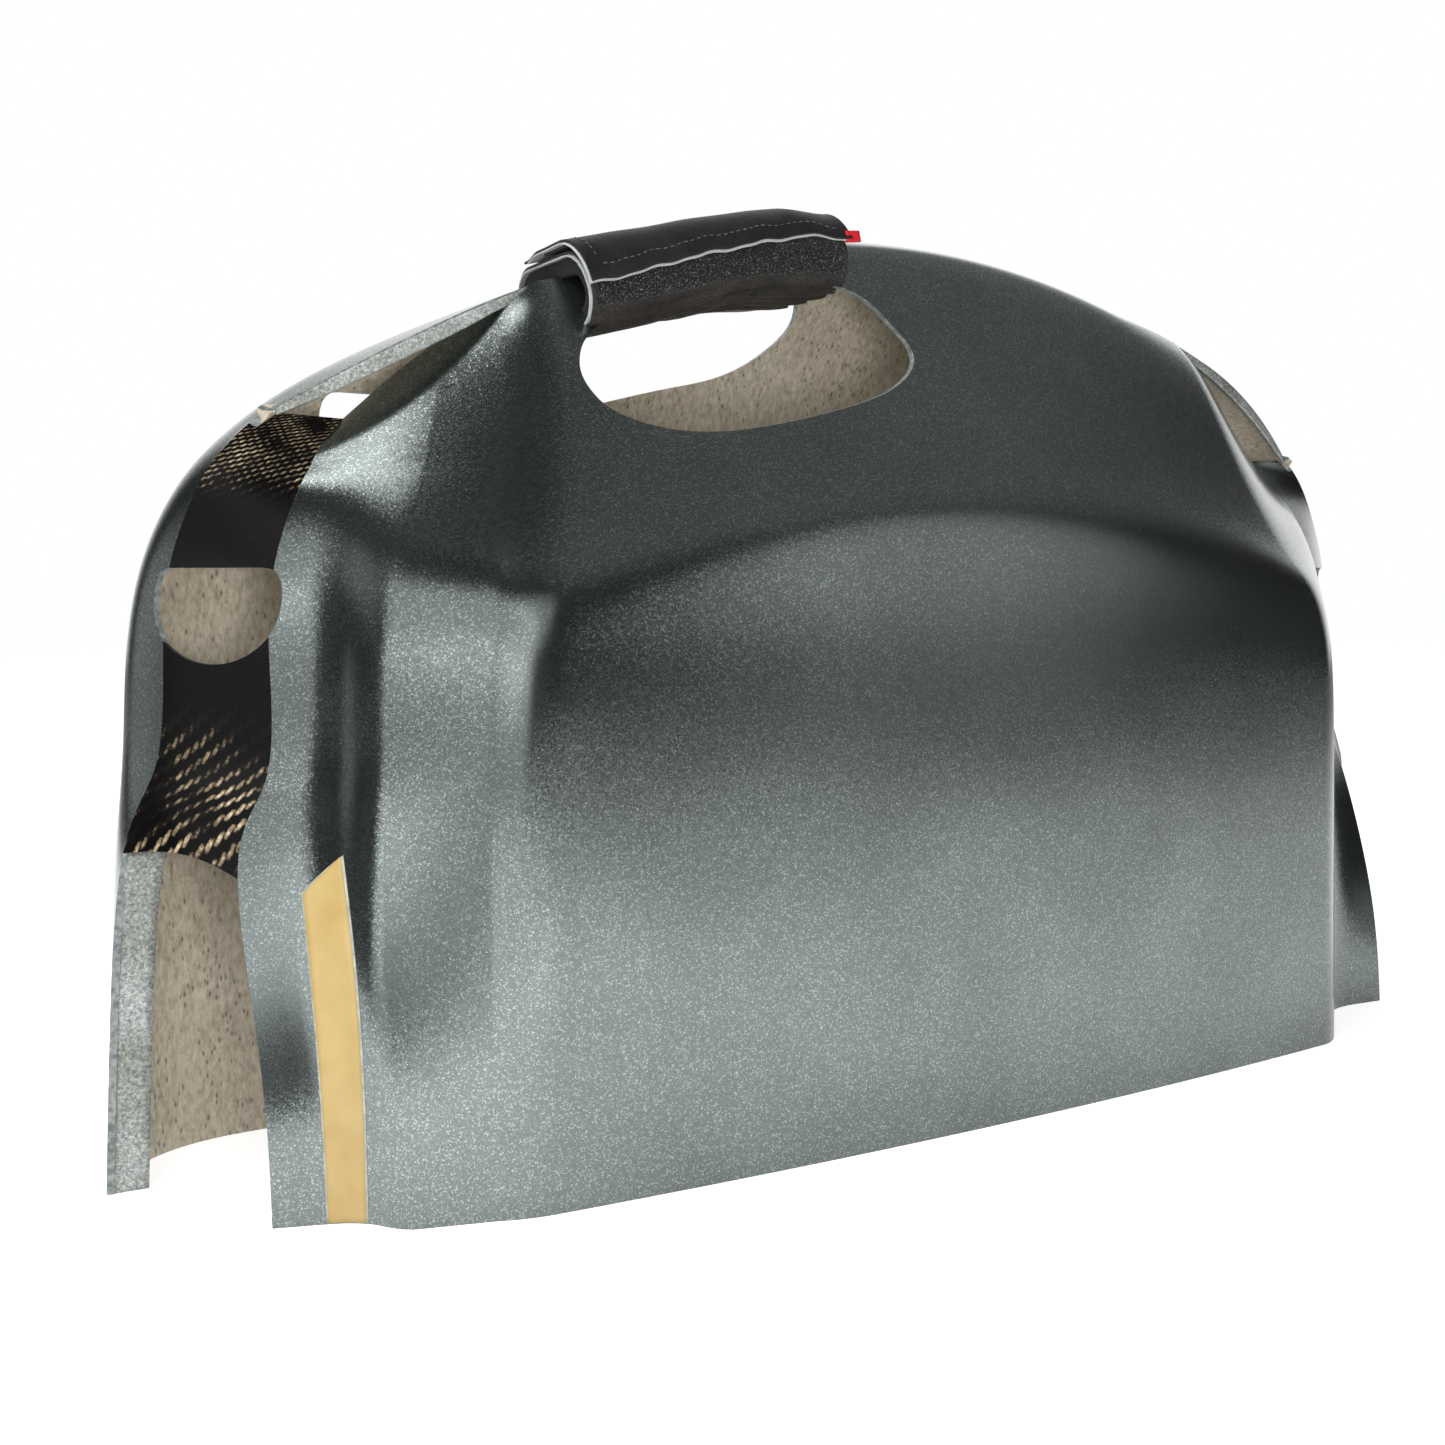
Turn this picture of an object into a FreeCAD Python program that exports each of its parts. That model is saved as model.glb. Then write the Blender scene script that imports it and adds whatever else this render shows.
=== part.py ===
import FreeCAD, Part
import math
import os
import Sketcher

# A moulded racing seat shell: a front and a rear half shell over an open bottom, joined along the
# ridge and by a carbon band down each side, with a wrapped hand grip cut into the ridge.
# Frame: +X to the shell's right, +Y to its back, +Z up, origin under the middle of the footprint.

V = FreeCAD.Vector
doc = FreeCAD.newDocument("racing_seat_shell")

# Driving dimensions, in millimetres and degrees
DIMENSIONS = [
    ("overall_width", 636),
    ("overall_depth", 144),
    ("ridge_height", 352),
    ("ridge_setback", 13),
    ("laminate_thickness", 1.5),
    ("core_thickness", 1.1),
    ("side_hole_radius", 22.3),
    ("side_hole_flat", 10.5),
    ("side_hole_height", 205.5),
    ("window_width", 68),
    ("window_height", 34),
    ("window_corner", 7),
    ("window_side", 196),
    ("window_level", 264),
    ("stripe_width", 11),
    ("stripe_top", 120),
    ("decal_thickness", 0.3),
    ("grip_left", -152),
    ("grip_right", -43),
    ("grip_setback", 13),
    ("grip_drop", 11.2),
    ("grip_half_depth", 30),
    ("grip_half_height", 13.5),
    ("felt_thickness", 0.8),
    ("leather_thickness", 1.2),
    ("tape_thickness", 1.0),
    ("flap_clearance", 0.35),
    ("tab_length", 9),
    ("tab_width", 4),
]
sheet = doc.addObject("Spreadsheet::Sheet", "Dimensions")
for line, (alias, value) in enumerate(DIMENSIONS, start=1):
    sheet.set("A%d" % line, alias)
    sheet.set("B%d" % line, str(value))
    sheet.setAlias("B%d" % line, alias)
doc.recompute()


def size(alias):
    return float(sheet.get(alias))


# The lines plan is drawn for these sizes, and follows the sheet when it changes
PLAN_WIDTH, PLAN_DEPTH, PLAN_HEIGHT = 636.0, 144.0, 352.0
SCALE = (
    size("overall_width") / PLAN_WIDTH,
    size("overall_depth") / PLAN_DEPTH,
    size("ridge_height") / PLAN_HEIGHT,
)
RIDGE_Y = size("ridge_setback")
RIDGE_DROP = 0.00122      # fall of the ridge line, per millimetre of side distance squared

# Rails of the left half, from the bottom rim to the ridge, as (x, y, z) at the same eleven stations.
# The face rail is the middle of the front, the corner rail is the bulge's vertical ridge, the
# valley rail is the hollow beside it, and the front edge rail is where the side band starts.
FACE = [
    (0, -72, 0), (0, -71, 60), (0, -70, 120), (0, -68.5, 170), (0, -66.5, 208), (0, -61.5, 236),
    (0, -50, 257), (0, -30, 292), (0, -13, 325), (0, -1, 344), (0, RIDGE_Y, PLAN_HEIGHT),
]
CORNER = [
    (-201, -64, 0), (-199.5, -63, 55), (-198, -62, 112), (-197, -61, 152), (-194, -59.5, 184),
    (-189, -54, 207), (-183, -43, 224), (-175, -27, 256), (-170, -14, 285), (-168.5, -2, 306),
    (-168, RIDGE_Y - 5, 317.6),
]
VALLEY = [
    (-240, -47, 0), (-241, -33, 55), (-242, -22, 110), (-243, -17, 145), (-242, -14, 180),
    (-240, -12, 212), (-236, -5, 234), (-228, 4, 251), (-219, 12, 267), (-211, 18, 281),
    (-204, 22, 292),
]
FRONT_EDGE = [
    (-276, -28, 0), (-276.5, -20, 55), (-277, 0, 115), (-266.5, 4, 142), (-263, 4.5, 172),
    (-261.7, 6.8, 208), (-252.2, 10.8, 238), (-245, 15.5, 250), (-239.8, 20, 258), (-234, 24, 264),
    (-229, 27, 269),
]
# The valley is deeper on the right, beside the foot of the bulge
RIGHT_VALLEY = [(-238, -24, 0), (-240, -20, 55), (-242, -16, 110), (-243, -14, 145)] + VALLEY[4:]
# The rear edge rail is where the side band ends, the bend rail is the rounded rear corner, and
# the back rail is the middle of the back.
REAR_EDGE = [
    (-318, 30, 0), (-315, 30, 55), (-308.5, 29, 119), (-297, 27.2, 149), (-293.5, 27, 185),
    (-290.5, 27, 216), (-282, 27, 240), (-276, 26.5, 251), (-269.5, 25.5, 259), (-263, 25, 265.5),
    (-257, 24.5, 270),
]
BEND = [
    (-306, 72, 0), (-307, 72, 60), (-313, 71, 120), (-318, 69, 160), (-316, 67, 195),
    (-307, 64, 224), (-293, 60, 247), (-274, 53, 266), (-253, 42, 281), (-231, 28, 291),
    (-212, RIDGE_Y - 7.9, 297.2),
]
BACK = [
    (0, 72, 0), (0, 72, 60), (0, 72, 120), (0, 71.5, 165), (0, 70, 205), (0, 67, 240),
    (0, 62, 275), (0, 53, 305), (0, 40, 329), (0, 27, 345), (0, RIDGE_Y, PLAN_HEIGHT),
]
STATIONS = len(FACE)
HOOD_STATION = 2          # the side band starts at the arch


def natural_spline(values):
    # second derivatives of the natural cubic through evenly spaced values
    count = len(values)
    second = [0.0] * count
    ratio = [0.0] * count
    for i in range(1, count - 1):
        pivot = 4.0 + ratio[i - 1]
        ratio[i] = -1.0 / pivot
        bend = 6.0 * (values[i + 1] - 2.0 * values[i] + values[i - 1])
        second[i] = (bend - second[i - 1]) / pivot
    for i in range(count - 2, 0, -1):
        second[i] += ratio[i] * second[i + 1]
    return second


def rail(points):
    # a smooth curve through the points, as a function of the station number
    axes = [[point[axis] * SCALE[axis] for point in points] for axis in range(3)]
    bends = [natural_spline(axis) for axis in axes]
    last = len(points) - 2

    def at(station):
        i = min(int(station), last)
        b = station - i
        a = 1.0 - b
        return V(*[
            a * q[i] + b * q[i + 1] + ((a ** 3 - a) * m[i] + (b ** 3 - b) * m[i + 1]) / 6.0
            for q, m in zip(axes, bends)])
    return at


face, corner, valley, front_edge = rail(FACE), rail(CORNER), rail(VALLEY), rail(FRONT_EDGE)
right_valley = rail(RIGHT_VALLEY)
rear_edge, bend, back = rail(REAR_EDGE), rail(BEND), rail(BACK)


def crowned_run(middle, control, reach, count):
    # points from the middle line outwards, level at the middle and aimed at the control point
    touch = control.x * (1.0 - reach)
    share = touch * (2.0 * control.x - touch)
    run = []
    for i in range(count + 1):
        x = touch * i / count
        fall = x * x / share
        run.append(V(x, middle.y + (control.y - middle.y) * fall,
                     middle.z + (control.z - middle.z) * fall))
    return run


def rounded_corner(start, control, end, count):
    # a quadratic curve from start to end, without its first point
    curve = []
    for i in range(1, count + 1):
        t = i / count
        curve.append(start * (1 - t) ** 2 + control * (2 * t * (1 - t)) + end * t ** 2)
    return curve


def straight_run(start, end, count):
    return [start + (end - start) * (i / count) for i in range(1, count + 1)]


CORNER_REACH, VALLEY_REACH, BEND_REACH = 0.10, 0.55, 0.15
SHARP_FROM, SHARP_REACH = 7.0, 0.055      # the bulge's corner tightens towards the ridge


def corner_reach(station):
    share = max(0.0, (station - SHARP_FROM) / (STATIONS - 1 - SHARP_FROM))
    return CORNER_REACH + (SHARP_REACH - CORNER_REACH) * share


def front_row(station, hollow=valley):
    # the left half of the front at one station, from the middle to the band
    c, v, e = corner(station), hollow(station), front_edge(station)
    row = crowned_run(face(station), c, corner_reach(station), 7)
    leave_corner = c + (v - c) * 0.42
    row += rounded_corner(row[-1], c, leave_corner, 5)
    enter_valley = v + (c - v) * 0.45
    row += straight_run(row[-1], enter_valley, 1)
    leave_valley = v + (e - v) * VALLEY_REACH
    row += rounded_corner(row[-1], v, leave_valley, 4)
    row += straight_run(row[-1], e, 2)
    return row


def rear_row(station):
    # the left half of the back at one station, from the middle to the band
    k, e = bend(station), rear_edge(station)
    row = crowned_run(back(station), k, BEND_REACH, 7)
    row += rounded_corner(row[-1], k, e, 8)
    return row


def both_halves(left, right):
    # one row across the shell, from its left side to its right; both halves are drawn on the left
    return list(reversed(left)) + [V(-p.x, p.y, p.z) for p in right[1:]]


def spread(first, last, count):
    return [first + (last - first) * i / count for i in range(count + 1)]


def normals(grid, outward):
    # surface normals at the grid points, pointing the way of the given vector
    rows, columns = len(grid), len(grid[0])
    result = []
    for i in range(rows):
        line = []
        for j in range(columns):
            along = grid[i][min(j + 1, columns - 1)] - grid[i][max(j - 1, 0)]
            up = grid[min(i + 1, rows - 1)][j] - grid[max(i - 1, 0)][j]
            n = along.cross(up)
            n.normalize()
            line.append(n)
        result.append(line)
    middle = result[rows // 2][columns // 2]
    if middle.dot(outward) < 0:
        result = [[n * -1 for n in line] for line in result]
    return result


def ridge_normal(point):
    n = V(2 * RIDGE_DROP * point.x, 0, 1)
    n.normalize()
    return n


# Both layers of a joint are cut along one plane, which leans this way at each joint of the band
FRONT_JOINT = V(-0.68, -0.735, 0)
REAR_JOINT = V(-0.955, -0.295, 0)


def mirror_x(vector):
    return V(-vector.x, vector.y, vector.z)


def surface(grid, lean, depth):
    # the smooth surface that lies this deep under the grid
    moved = [[p - n * depth for p, n in zip(row, line)] for row, line in zip(grid, lean)]
    skin = Part.BSplineSurface()
    skin.interpolate(moved)
    return skin


def layer(grid, lean, top, bottom):
    # a closed solid between two depths under the grid
    outer = surface(grid, lean, top)
    inner = surface(grid, lean, bottom)
    u0, u1, v0, v1 = outer.bounds()
    p0, p1, q0, q1 = inner.bounds()
    pairs = [
        (outer.uIso(u0), inner.uIso(p0)), (outer.uIso(u1), inner.uIso(p1)),
        (outer.vIso(v0), inner.vIso(q0)), (outer.vIso(v1), inner.vIso(q1)),
    ]
    faces = [outer.toShape(), inner.toShape()]
    for one, other in pairs:
        faces.append(Part.makeRuledSurface(one.toShape(), other.toShape()))
    shell = Part.Shell(Part.makeShell(faces).Faces)
    shell.sewShape()
    solid = Part.Solid(shell if shell.ShapeType == "Shell" else shell.Shells[0])
    if solid.Volume < 0:
        solid.reverse()
    return solid


BOND_LINE, RIDGE_BOND = 0.05, 0.2     # resin between skin and core, and between the shells
BELOW_RIM = -0.12         # the skins start a little under the bottom rim and are cut flat at it
ROWS = spread(BELOW_RIM, STATIONS - 1, 30)
front_grid = [both_halves(front_row(s), front_row(s, right_valley)) for s in ROWS]
rear_grid = [both_halves(rear_row(s), rear_row(s)) for s in ROWS]
front_lean = normals(front_grid, V(0, -1, 0))
rear_lean = normals(rear_grid, V(0, 1, 0))
rear_grid[-1] = [p + V(0, RIDGE_BOND, 0) for p in rear_grid[-1]]
for grid, lean, joint in ((front_grid, front_lean, FRONT_JOINT), (rear_grid, rear_lean, REAR_JOINT)):
    for i in range(len(grid)):
        lean[i][0] = V(joint)
        lean[i][-1] = mirror_x(joint)
    for j in range(len(grid[0])):
        lean[-1][j] = ridge_normal(grid[-1][j])


def band_row(share):
    # across the left side band, from the front edge to the rear edge
    front = front_edge(HOOD_STATION + (STATIONS - 1 - HOOD_STATION) * share)
    rear = rear_edge(HOOD_STATION + (STATIONS - 1 - HOOD_STATION) * share)
    out = V(-0.80, -0.60, 0) * (1.0 * (1 - share) + 0.5)
    return [front] + rounded_corner(front, (front + rear) * 0.5 + out, rear, 6)


band_grid = [band_row(w) for w in spread(0, 1, 14)]
band_lean = normals(band_grid, V(-1, -0.5, 0))
for i in range(len(band_grid)):
    band_lean[i][0] = V(FRONT_JOINT)
    band_lean[i][-1] = V(REAR_JOINT)

LAMINATE = size("laminate_thickness")
WALL = LAMINATE + size("core_thickness")


def feature(name, shape):
    # a piece whose shape is made in code, because no primitive or pad has its form
    item = doc.addObject("Part::Feature", name)
    item.Shape = shape
    return item


def primitive(kind, name, placement, **sizes):
    # a primitive whose sizes follow the sheet
    item = doc.addObject("Part::" + kind, name)
    for prop, expression in sizes.items():
        item.setExpression(prop, expression)
    item.Placement = placement
    return item


def fuse(name, pieces):
    item = doc.addObject("Part::MultiFuse", name)
    item.Shapes = pieces
    return item


def cut(name, base, tool):
    item = doc.addObject("Part::Cut", name)
    item.Base = base
    item.Tool = tool
    return item


def common(name, base, tool):
    item = doc.addObject("Part::Common", name)
    item.Base = base
    item.Tool = tool
    return item


def mirror(name, source):
    item = doc.addObject("Part::Mirroring", name)
    item.Source = source
    item.Normal = V(1, 0, 0)
    return item


def extrusion(name, wire, direction, length):
    # a closed outline pushed straight through the wall
    item = doc.addObject("Part::Extrusion", name)
    item.Base = feature(name + "_outline", wire)
    item.Dir = direction
    item.DirMode = "Custom"
    item.LengthFwd = length
    item.Solid = True
    return item


def smooth_outline(points):
    curve = Part.BSplineCurve()
    curve.interpolate(Points=points, PeriodicFlag=True)
    return Part.Wire([curve.toShape()])


def polygon(points):
    return Part.makePolygon(points + [points[0]])


# Openings in the shell. The hand hole is off the middle, to the left, and ends inside the grip.
FRONT_HOLE = [
    (-155.5, 289), (-154, 279), (-145.5, 270.3), (-126, 264.8), (-98, 266), (-56, 275.5), (-30, 285),
    (-16.5, 297), (-21, 309.5), (-40, 325), (-90, 325), (-130, 311.5), (-149, 300),
]
REAR_HOLE = [
    (-154, 292), (-148, 282), (-132, 279), (-89, 289), (-60, 296), (-42, 305), (-29, 318),
    (-31, 330), (-45, 333), (-90, 324), (-138, 309),
]
HOLE_FRONT_Y, HOLE_REAR_Y = -62.0, 80.0
RIDGE_GAP = 1.5           # each hole stops this far from the ridge joint
front_hole_outline = smooth_outline([V(x, HOLE_FRONT_Y, z) for x, z in FRONT_HOLE])
rear_hole_outline = smooth_outline([V(x, HOLE_REAR_Y, z) for x, z in REAR_HOLE])
front_hole = extrusion("front_hand_hole", front_hole_outline, V(0, 1, 0),
                       RIDGE_Y - RIDGE_GAP - HOLE_FRONT_Y)
rear_hole = extrusion("rear_hand_hole", rear_hole_outline, V(0, -1, 0),
                      HOLE_REAR_Y - RIDGE_Y - RIDGE_GAP)

UPRIGHT = FreeCAD.Rotation()
FLOOR_FROM = V(-size("overall_width") / 2 - 20, -size("overall_depth") / 2 - 30, -20)
floor_cutter = primitive(
    "Box", "floor_cutter", FreeCAD.Placement(FLOOR_FROM, UPRIGHT),
    Length="Dimensions.overall_width + 40", Width="Dimensions.overall_depth + 60", Height="20")


WINDOW_FROM_Y = 28.0


def window_cutter(name, side):
    # a belt window through the back wall, with rounded corners
    start = V(side * size("window_side") - size("window_width") / 2, WINDOW_FROM_Y,
              size("window_level") - size("window_height") / 2)
    block = primitive("Box", name + "_block", FreeCAD.Placement(start, UPRIGHT),
                      Length="Dimensions.window_width", Width="60", Height="Dimensions.window_height")
    doc.recompute()
    along_y = [n for n, edge in enumerate(block.Shape.Edges, start=1)
               if abs(edge.tangentAt(edge.FirstParameter).y) > 0.99]
    rounded = doc.addObject("Part::Fillet", name)
    rounded.Base = block
    rounded.Edges = [(n, size("window_corner"), size("window_corner")) for n in along_y]
    return rounded


left_window, right_window = window_cutter("left_window", -1), window_cutter("right_window", 1)


def origin_plane(body, role):
    return [item for item in body.Origin.OriginFeatures if item.Role == role][0]


def sketched_pad(name, draw, placement, length):
    # a body with one sketch on its XY plane and one pad
    body = doc.addObject("PartDesign::Body", name)
    sketch = body.newObject("Sketcher::SketchObject", name + "_sketch")
    sketch.AttachmentSupport = [(origin_plane(body, "XY_Plane"), "")]
    sketch.MapMode = "FlatFace"
    draw(sketch)
    doc.recompute()
    pad = body.newObject("PartDesign::Pad", name + "_pad")
    pad.Profile = sketch
    pad.setExpression("Length", length)
    pad.Midplane = True
    body.Tip = pad
    body.Placement = placement
    return body


def draw_side_hole(sketch):
    # a circle cut flat at the top, with its radius and flat bound to the sheet
    radius, flat = size("side_hole_radius"), size("side_hole_flat")
    reach = math.sqrt(radius ** 2 - flat ** 2)
    angle = math.asin(flat / radius)
    arc = Part.ArcOfCircle(Part.Circle(V(0, 0, 0), V(0, 0, 1), radius), math.pi - angle, 2 * math.pi + angle)
    sketch.addGeometry(arc, False)
    sketch.addGeometry(Part.LineSegment(V(reach, flat, 0), V(-reach, flat, 0)), False)
    sketch.addConstraint(Sketcher.Constraint("Coincident", 0, 2, 1, 1))
    sketch.addConstraint(Sketcher.Constraint("Coincident", 1, 2, 0, 1))
    sketch.addConstraint(Sketcher.Constraint("Coincident", 0, 3, -1, 1))
    sketch.addConstraint(Sketcher.Constraint("Horizontal", 1))
    round_size = sketch.addConstraint(Sketcher.Constraint("Radius", 0, radius))
    flat_size = sketch.addConstraint(Sketcher.Constraint("DistanceY", -1, 1, 1, 1, flat))
    sketch.setExpression("Constraints[%d]" % round_size, "Dimensions.side_hole_radius")
    sketch.setExpression("Constraints[%d]" % flat_size, "Dimensions.side_hole_flat")


BAND_FACING = 53.0        # degrees from the front towards the left that the side band faces
HOLE_MIDDLE = V(-281, 15, size("side_hole_height"))
ON_EDGE = FreeCAD.Rotation(V(1, 0, 0), 90)
hole_turn = FreeCAD.Rotation(V(0, 0, 1), -BAND_FACING).multiply(ON_EDGE)
side_hole = sketched_pad("side_hole_cutter", draw_side_hole,
                         FreeCAD.Placement(HOLE_MIDDLE, hole_turn), "50 mm")
doc.recompute()
side_hole_right = mirror("side_hole_cutter_right", side_hole)

# The side holes bite a little into the shells on both sides of the band
side_holes = [side_hole, side_hole_right]
front_cutters = fuse("front_cutters", [front_hole, floor_cutter] + side_holes)
rear_cutters = fuse("rear_cutters", [rear_hole, left_window, right_window, floor_cutter] + side_holes)

front_skin = feature("front_skin", layer(front_grid, front_lean, 0, LAMINATE))
rear_skin = feature("rear_skin", layer(rear_grid, rear_lean, 0, LAMINATE))
front_core = feature("front_core", layer(front_grid, front_lean, LAMINATE, WALL))
rear_core = feature("rear_core", layer(rear_grid, rear_lean, LAMINATE + BOND_LINE, WALL))
band_skin = feature("band_skin", layer(band_grid, band_lean, 0, LAMINATE))

pieces = {
    "front_shell": cut("front_shell", front_skin, front_cutters),
    "rear_shell": cut("rear_shell", rear_skin, rear_cutters),
    "front_core_mat": cut("front_core_mat", front_core, front_cutters),
    "rear_core_mat": cut("rear_core_mat", rear_core, rear_cutters),
}

# The hole is as wide as the band, so it parts the band into an upper strip and the arch's hood
band_with_hole = cut("band_with_hole", band_skin, side_hole)
BAND_REACH = 120.0
half_tools = {}
for half, level in (("upper", size("side_hole_height")), ("lower", size("side_hole_height") - BAND_REACH)):
    corner_point = V(-size("overall_width") / 2 - 10, -BAND_REACH / 2, level)
    half_tools[half] = primitive("Box", half + "_half", FreeCAD.Placement(corner_point, UPRIGHT),
                                 Length=str(BAND_REACH), Width=str(BAND_REACH), Height=str(BAND_REACH))
pieces["left_upper_band"] = common("left_upper_band", band_with_hole, half_tools["upper"])
pieces["left_arch_hood"] = common("left_arch_hood", band_with_hole, half_tools["lower"])
for band in ("upper_band", "arch_hood"):
    pieces["right_" + band] = mirror("right_" + band, pieces["left_" + band])

# A plain vertical stripe in the left valley of the front, slanted at its top, with a pale border
STRIPE_MIDDLE, STRIPE_SLANT, STRIPE_BORDER = -253.5, 13.0, 0.9
STRIPE_FROM_Y, STRIPE_REACH = -80.0, 70.0


def stripe_outline(margin):
    left = STRIPE_MIDDLE - size("stripe_width") / 2 - margin
    right = STRIPE_MIDDLE + size("stripe_width") / 2 + margin
    top = size("stripe_top") + margin
    corners = [(left, -5), (right, -5), (right, top), (left, top - STRIPE_SLANT)]
    return polygon([V(x, STRIPE_FROM_Y, z) for x, z in corners])


stripe_prism = extrusion("stripe_prism", stripe_outline(0), V(0, 1, 0), STRIPE_REACH)
border_prism = extrusion("border_prism", stripe_outline(STRIPE_BORDER), V(0, 1, 0), STRIPE_REACH)
border_ring = cut("border_ring", border_prism, stripe_prism)
decal_layer = feature("decal_layer", layer(front_grid, front_lean, -size("decal_thickness"), 0))
decal_sheet = cut("decal_sheet", decal_layer, floor_cutter)
pieces["stripe_decal"] = common("stripe_decal", decal_sheet, stripe_prism)
pieces["stripe_border"] = common("stripe_border", decal_sheet, border_ring)

# The grip is wrapped round the strip of shell above the hand hole, and runs straight along a line
# that slopes with the ridge. Its layers are stadium sections, at these distances off the padding.
FELT = size("felt_thickness")
LEATHER = size("leather_thickness")
TAPE = size("tape_thickness")
BODY_TOP = FELT + LEATHER
HOOK_TOP = BODY_TOP + TAPE
LOOP_BOTTOM = HOOK_TOP + size("flap_clearance")
LOOP_TOP = LOOP_BOTTOM + TAPE * 0.75
FLAP_FELT_TOP = LOOP_TOP + FELT * 0.8
FLAP_TOP = FLAP_FELT_TOP + LEATHER * 0.9

GRIP_MIDDLE_X = (size("grip_left") + size("grip_right")) / 2
GRIP_RISE = 12.9          # degrees that the grip climbs towards the middle of the shell
RIDGE_BEND = 0.000179     # the ridge runs forward as it falls, per millimetre squared
GRIP_CROWN = 2.6          # how far the ridge stands over the grip's straight line at its middle
grip_length = (size("grip_right") - size("grip_left")) / math.cos(math.radians(GRIP_RISE))
grip_middle = V(GRIP_MIDDLE_X, size("grip_setback"),
                size("ridge_height") - RIDGE_DROP * GRIP_MIDDLE_X ** 2 - GRIP_CROWN - size("grip_drop"))
grip_frame = FreeCAD.Placement(grip_middle, FreeCAD.Rotation(V(0, 1, 0), -GRIP_RISE))


def in_grip(x, y, z, rotation=None):
    return grip_frame.multiply(FreeCAD.Placement(V(x, y, z), rotation or FreeCAD.Rotation()))


ALONG_X = FreeCAD.Rotation(V(0, 1, 0), 90)
round_middle = size("grip_half_depth") - size("grip_half_height")


def stadium(name, offset, start, length):
    # a bar with a flat top and bottom and half-round front and back
    radius = "Dimensions.grip_half_height + %.3f" % offset
    height = size("grip_half_height") + offset
    parts = []
    for end, y in (("front", -round_middle), ("back", round_middle)):
        parts.append(primitive("Cylinder", "%s_%s" % (name, end), in_grip(start, y, 0, ALONG_X),
                               Radius=radius, Height="%.3f" % length))
    parts.append(primitive("Box", name + "_middle", in_grip(start, -round_middle, -height),
                           Length="%.3f" % length,
                           Width="2 * (Dimensions.grip_half_depth - Dimensions.grip_half_height)",
                           Height="2 * (Dimensions.grip_half_height + %.3f)" % offset))
    bar = fuse(name, parts)
    bar.Refine = True
    return bar


def wrap_layer(name, inner, outer, inset=0.0):
    # a closed sleeve between two distances off the padding
    start, length = -grip_length / 2 + inset, grip_length - 2 * inset
    outside = stadium(name + "_outside", outer, start, length)
    inside = stadium(name + "_inside", inner, start - 1, length + 2)
    return cut(name + "_sleeve", outside, inside)


def sector(name, low_angle, high_angle, seam):
    # the part of the section from the seam on the top, over the front, down to an angle under level
    far = 60.0
    start = -grip_length / 2 - 2
    length = grip_length + 4
    low = math.radians(low_angle)
    if high_angle is None:
        points = [(seam, 0), (seam, far)]
    else:
        high = math.radians(high_angle)
        points = [(-round_middle - far * math.cos(high), far * math.sin(high))]
    points.append((-round_middle - far, far))
    points.append((-round_middle - far * math.cos(low), -far * math.sin(low)))
    points.append((-round_middle, 0))
    outline = polygon([grip_frame.multVec(V(start, y, z)) for y, z in points])
    return extrusion(name, outline, grip_frame.Rotation.multVec(V(1, 0, 0)), length)


# The flap starts at a seam on the top, near the back, and closes over the front
SEAM_Y = 12.0
FLAP_END_ANGLE = -14.0    # degrees under level where the flap's free edge lies, so above it
HOOK_END_ANGLE = 30.0
HOOK_START_ANGLE = 70.0
LOOP_START_ANGLE = 60.0
FLAP_INSET = 1.5
TAPE_INSET = 4.0

# The padding and the sleeve stay clear of the strip of shell that runs through them
STRIP_MARGIN = 0.6
STRIP_LOW, STRIP_HIGH, STRIP_LEVELS, STRIP_STEP = 7.6, 9.45, 7, 12.0


def row_at(row, x):
    # the point of a row at this x
    for one, other in zip(row, row[1:]):
        if other.x <= x <= one.x:
            share = (x - one.x) / (other.x - one.x)
            return one + (other - one) * share
    return row[-1]


def strip_section(x):
    # the wall's section across the ridge with a margin all round, as a closed polygon
    levels = spread(STRIP_LOW, STRIP_HIGH, STRIP_LEVELS)
    line = [row_at(front_row(s), x) for s in levels]
    line.append(V(x, RIDGE_Y - RIDGE_BEND * x * x, size("ridge_height") - RIDGE_DROP * x * x))
    line += [row_at(rear_row(s), x) for s in reversed(levels)]
    outer, inner = [], []
    for i, p in enumerate(line):
        along = line[min(i + 1, len(line) - 1)] - line[max(i - 1, 0)]
        along = V(0, along.y, along.z)
        along.normalize()
        out = V(0, -along.z, along.y)
        outer.append(V(x, p.y, p.z) + out * STRIP_MARGIN)
        inner.append(V(x, p.y, p.z) - out * (WALL + STRIP_MARGIN))
    return polygon(outer + list(reversed(inner)))


strip_start, strip_end = size("grip_left") - 8, size("grip_right") + 8
strip_stations = spread(strip_start, strip_end, int((strip_end - strip_start) / STRIP_STEP))
shell_strip = feature("shell_strip", Part.makeLoft([strip_section(x) for x in strip_stations], True, True))
strip_over_hole = cut("strip_over_hole", shell_strip, fuse("hand_holes", [front_hole, rear_hole]))
padding_bar = stadium("padding_bar", 0, -grip_length / 2, grip_length)
pieces["grip_padding"] = cut("grip_padding", padding_bar, strip_over_hole)
felt_sleeve = wrap_layer("felt", 0, FELT)
leather_sleeve = wrap_layer("leather", FELT, BODY_TOP)
pieces["grip_felt"] = cut("grip_felt", felt_sleeve, strip_over_hole)
pieces["grip_leather"] = cut("grip_leather", leather_sleeve, strip_over_hole)


def sleeve_part(name, inner, outer, inset, low_angle, high_angle):
    # the part of a sleeve that lies in a sector
    sleeve = wrap_layer(name, inner, outer, inset)
    return common(name, sleeve, sector(name + "_sector", low_angle, high_angle, SEAM_Y))


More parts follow.
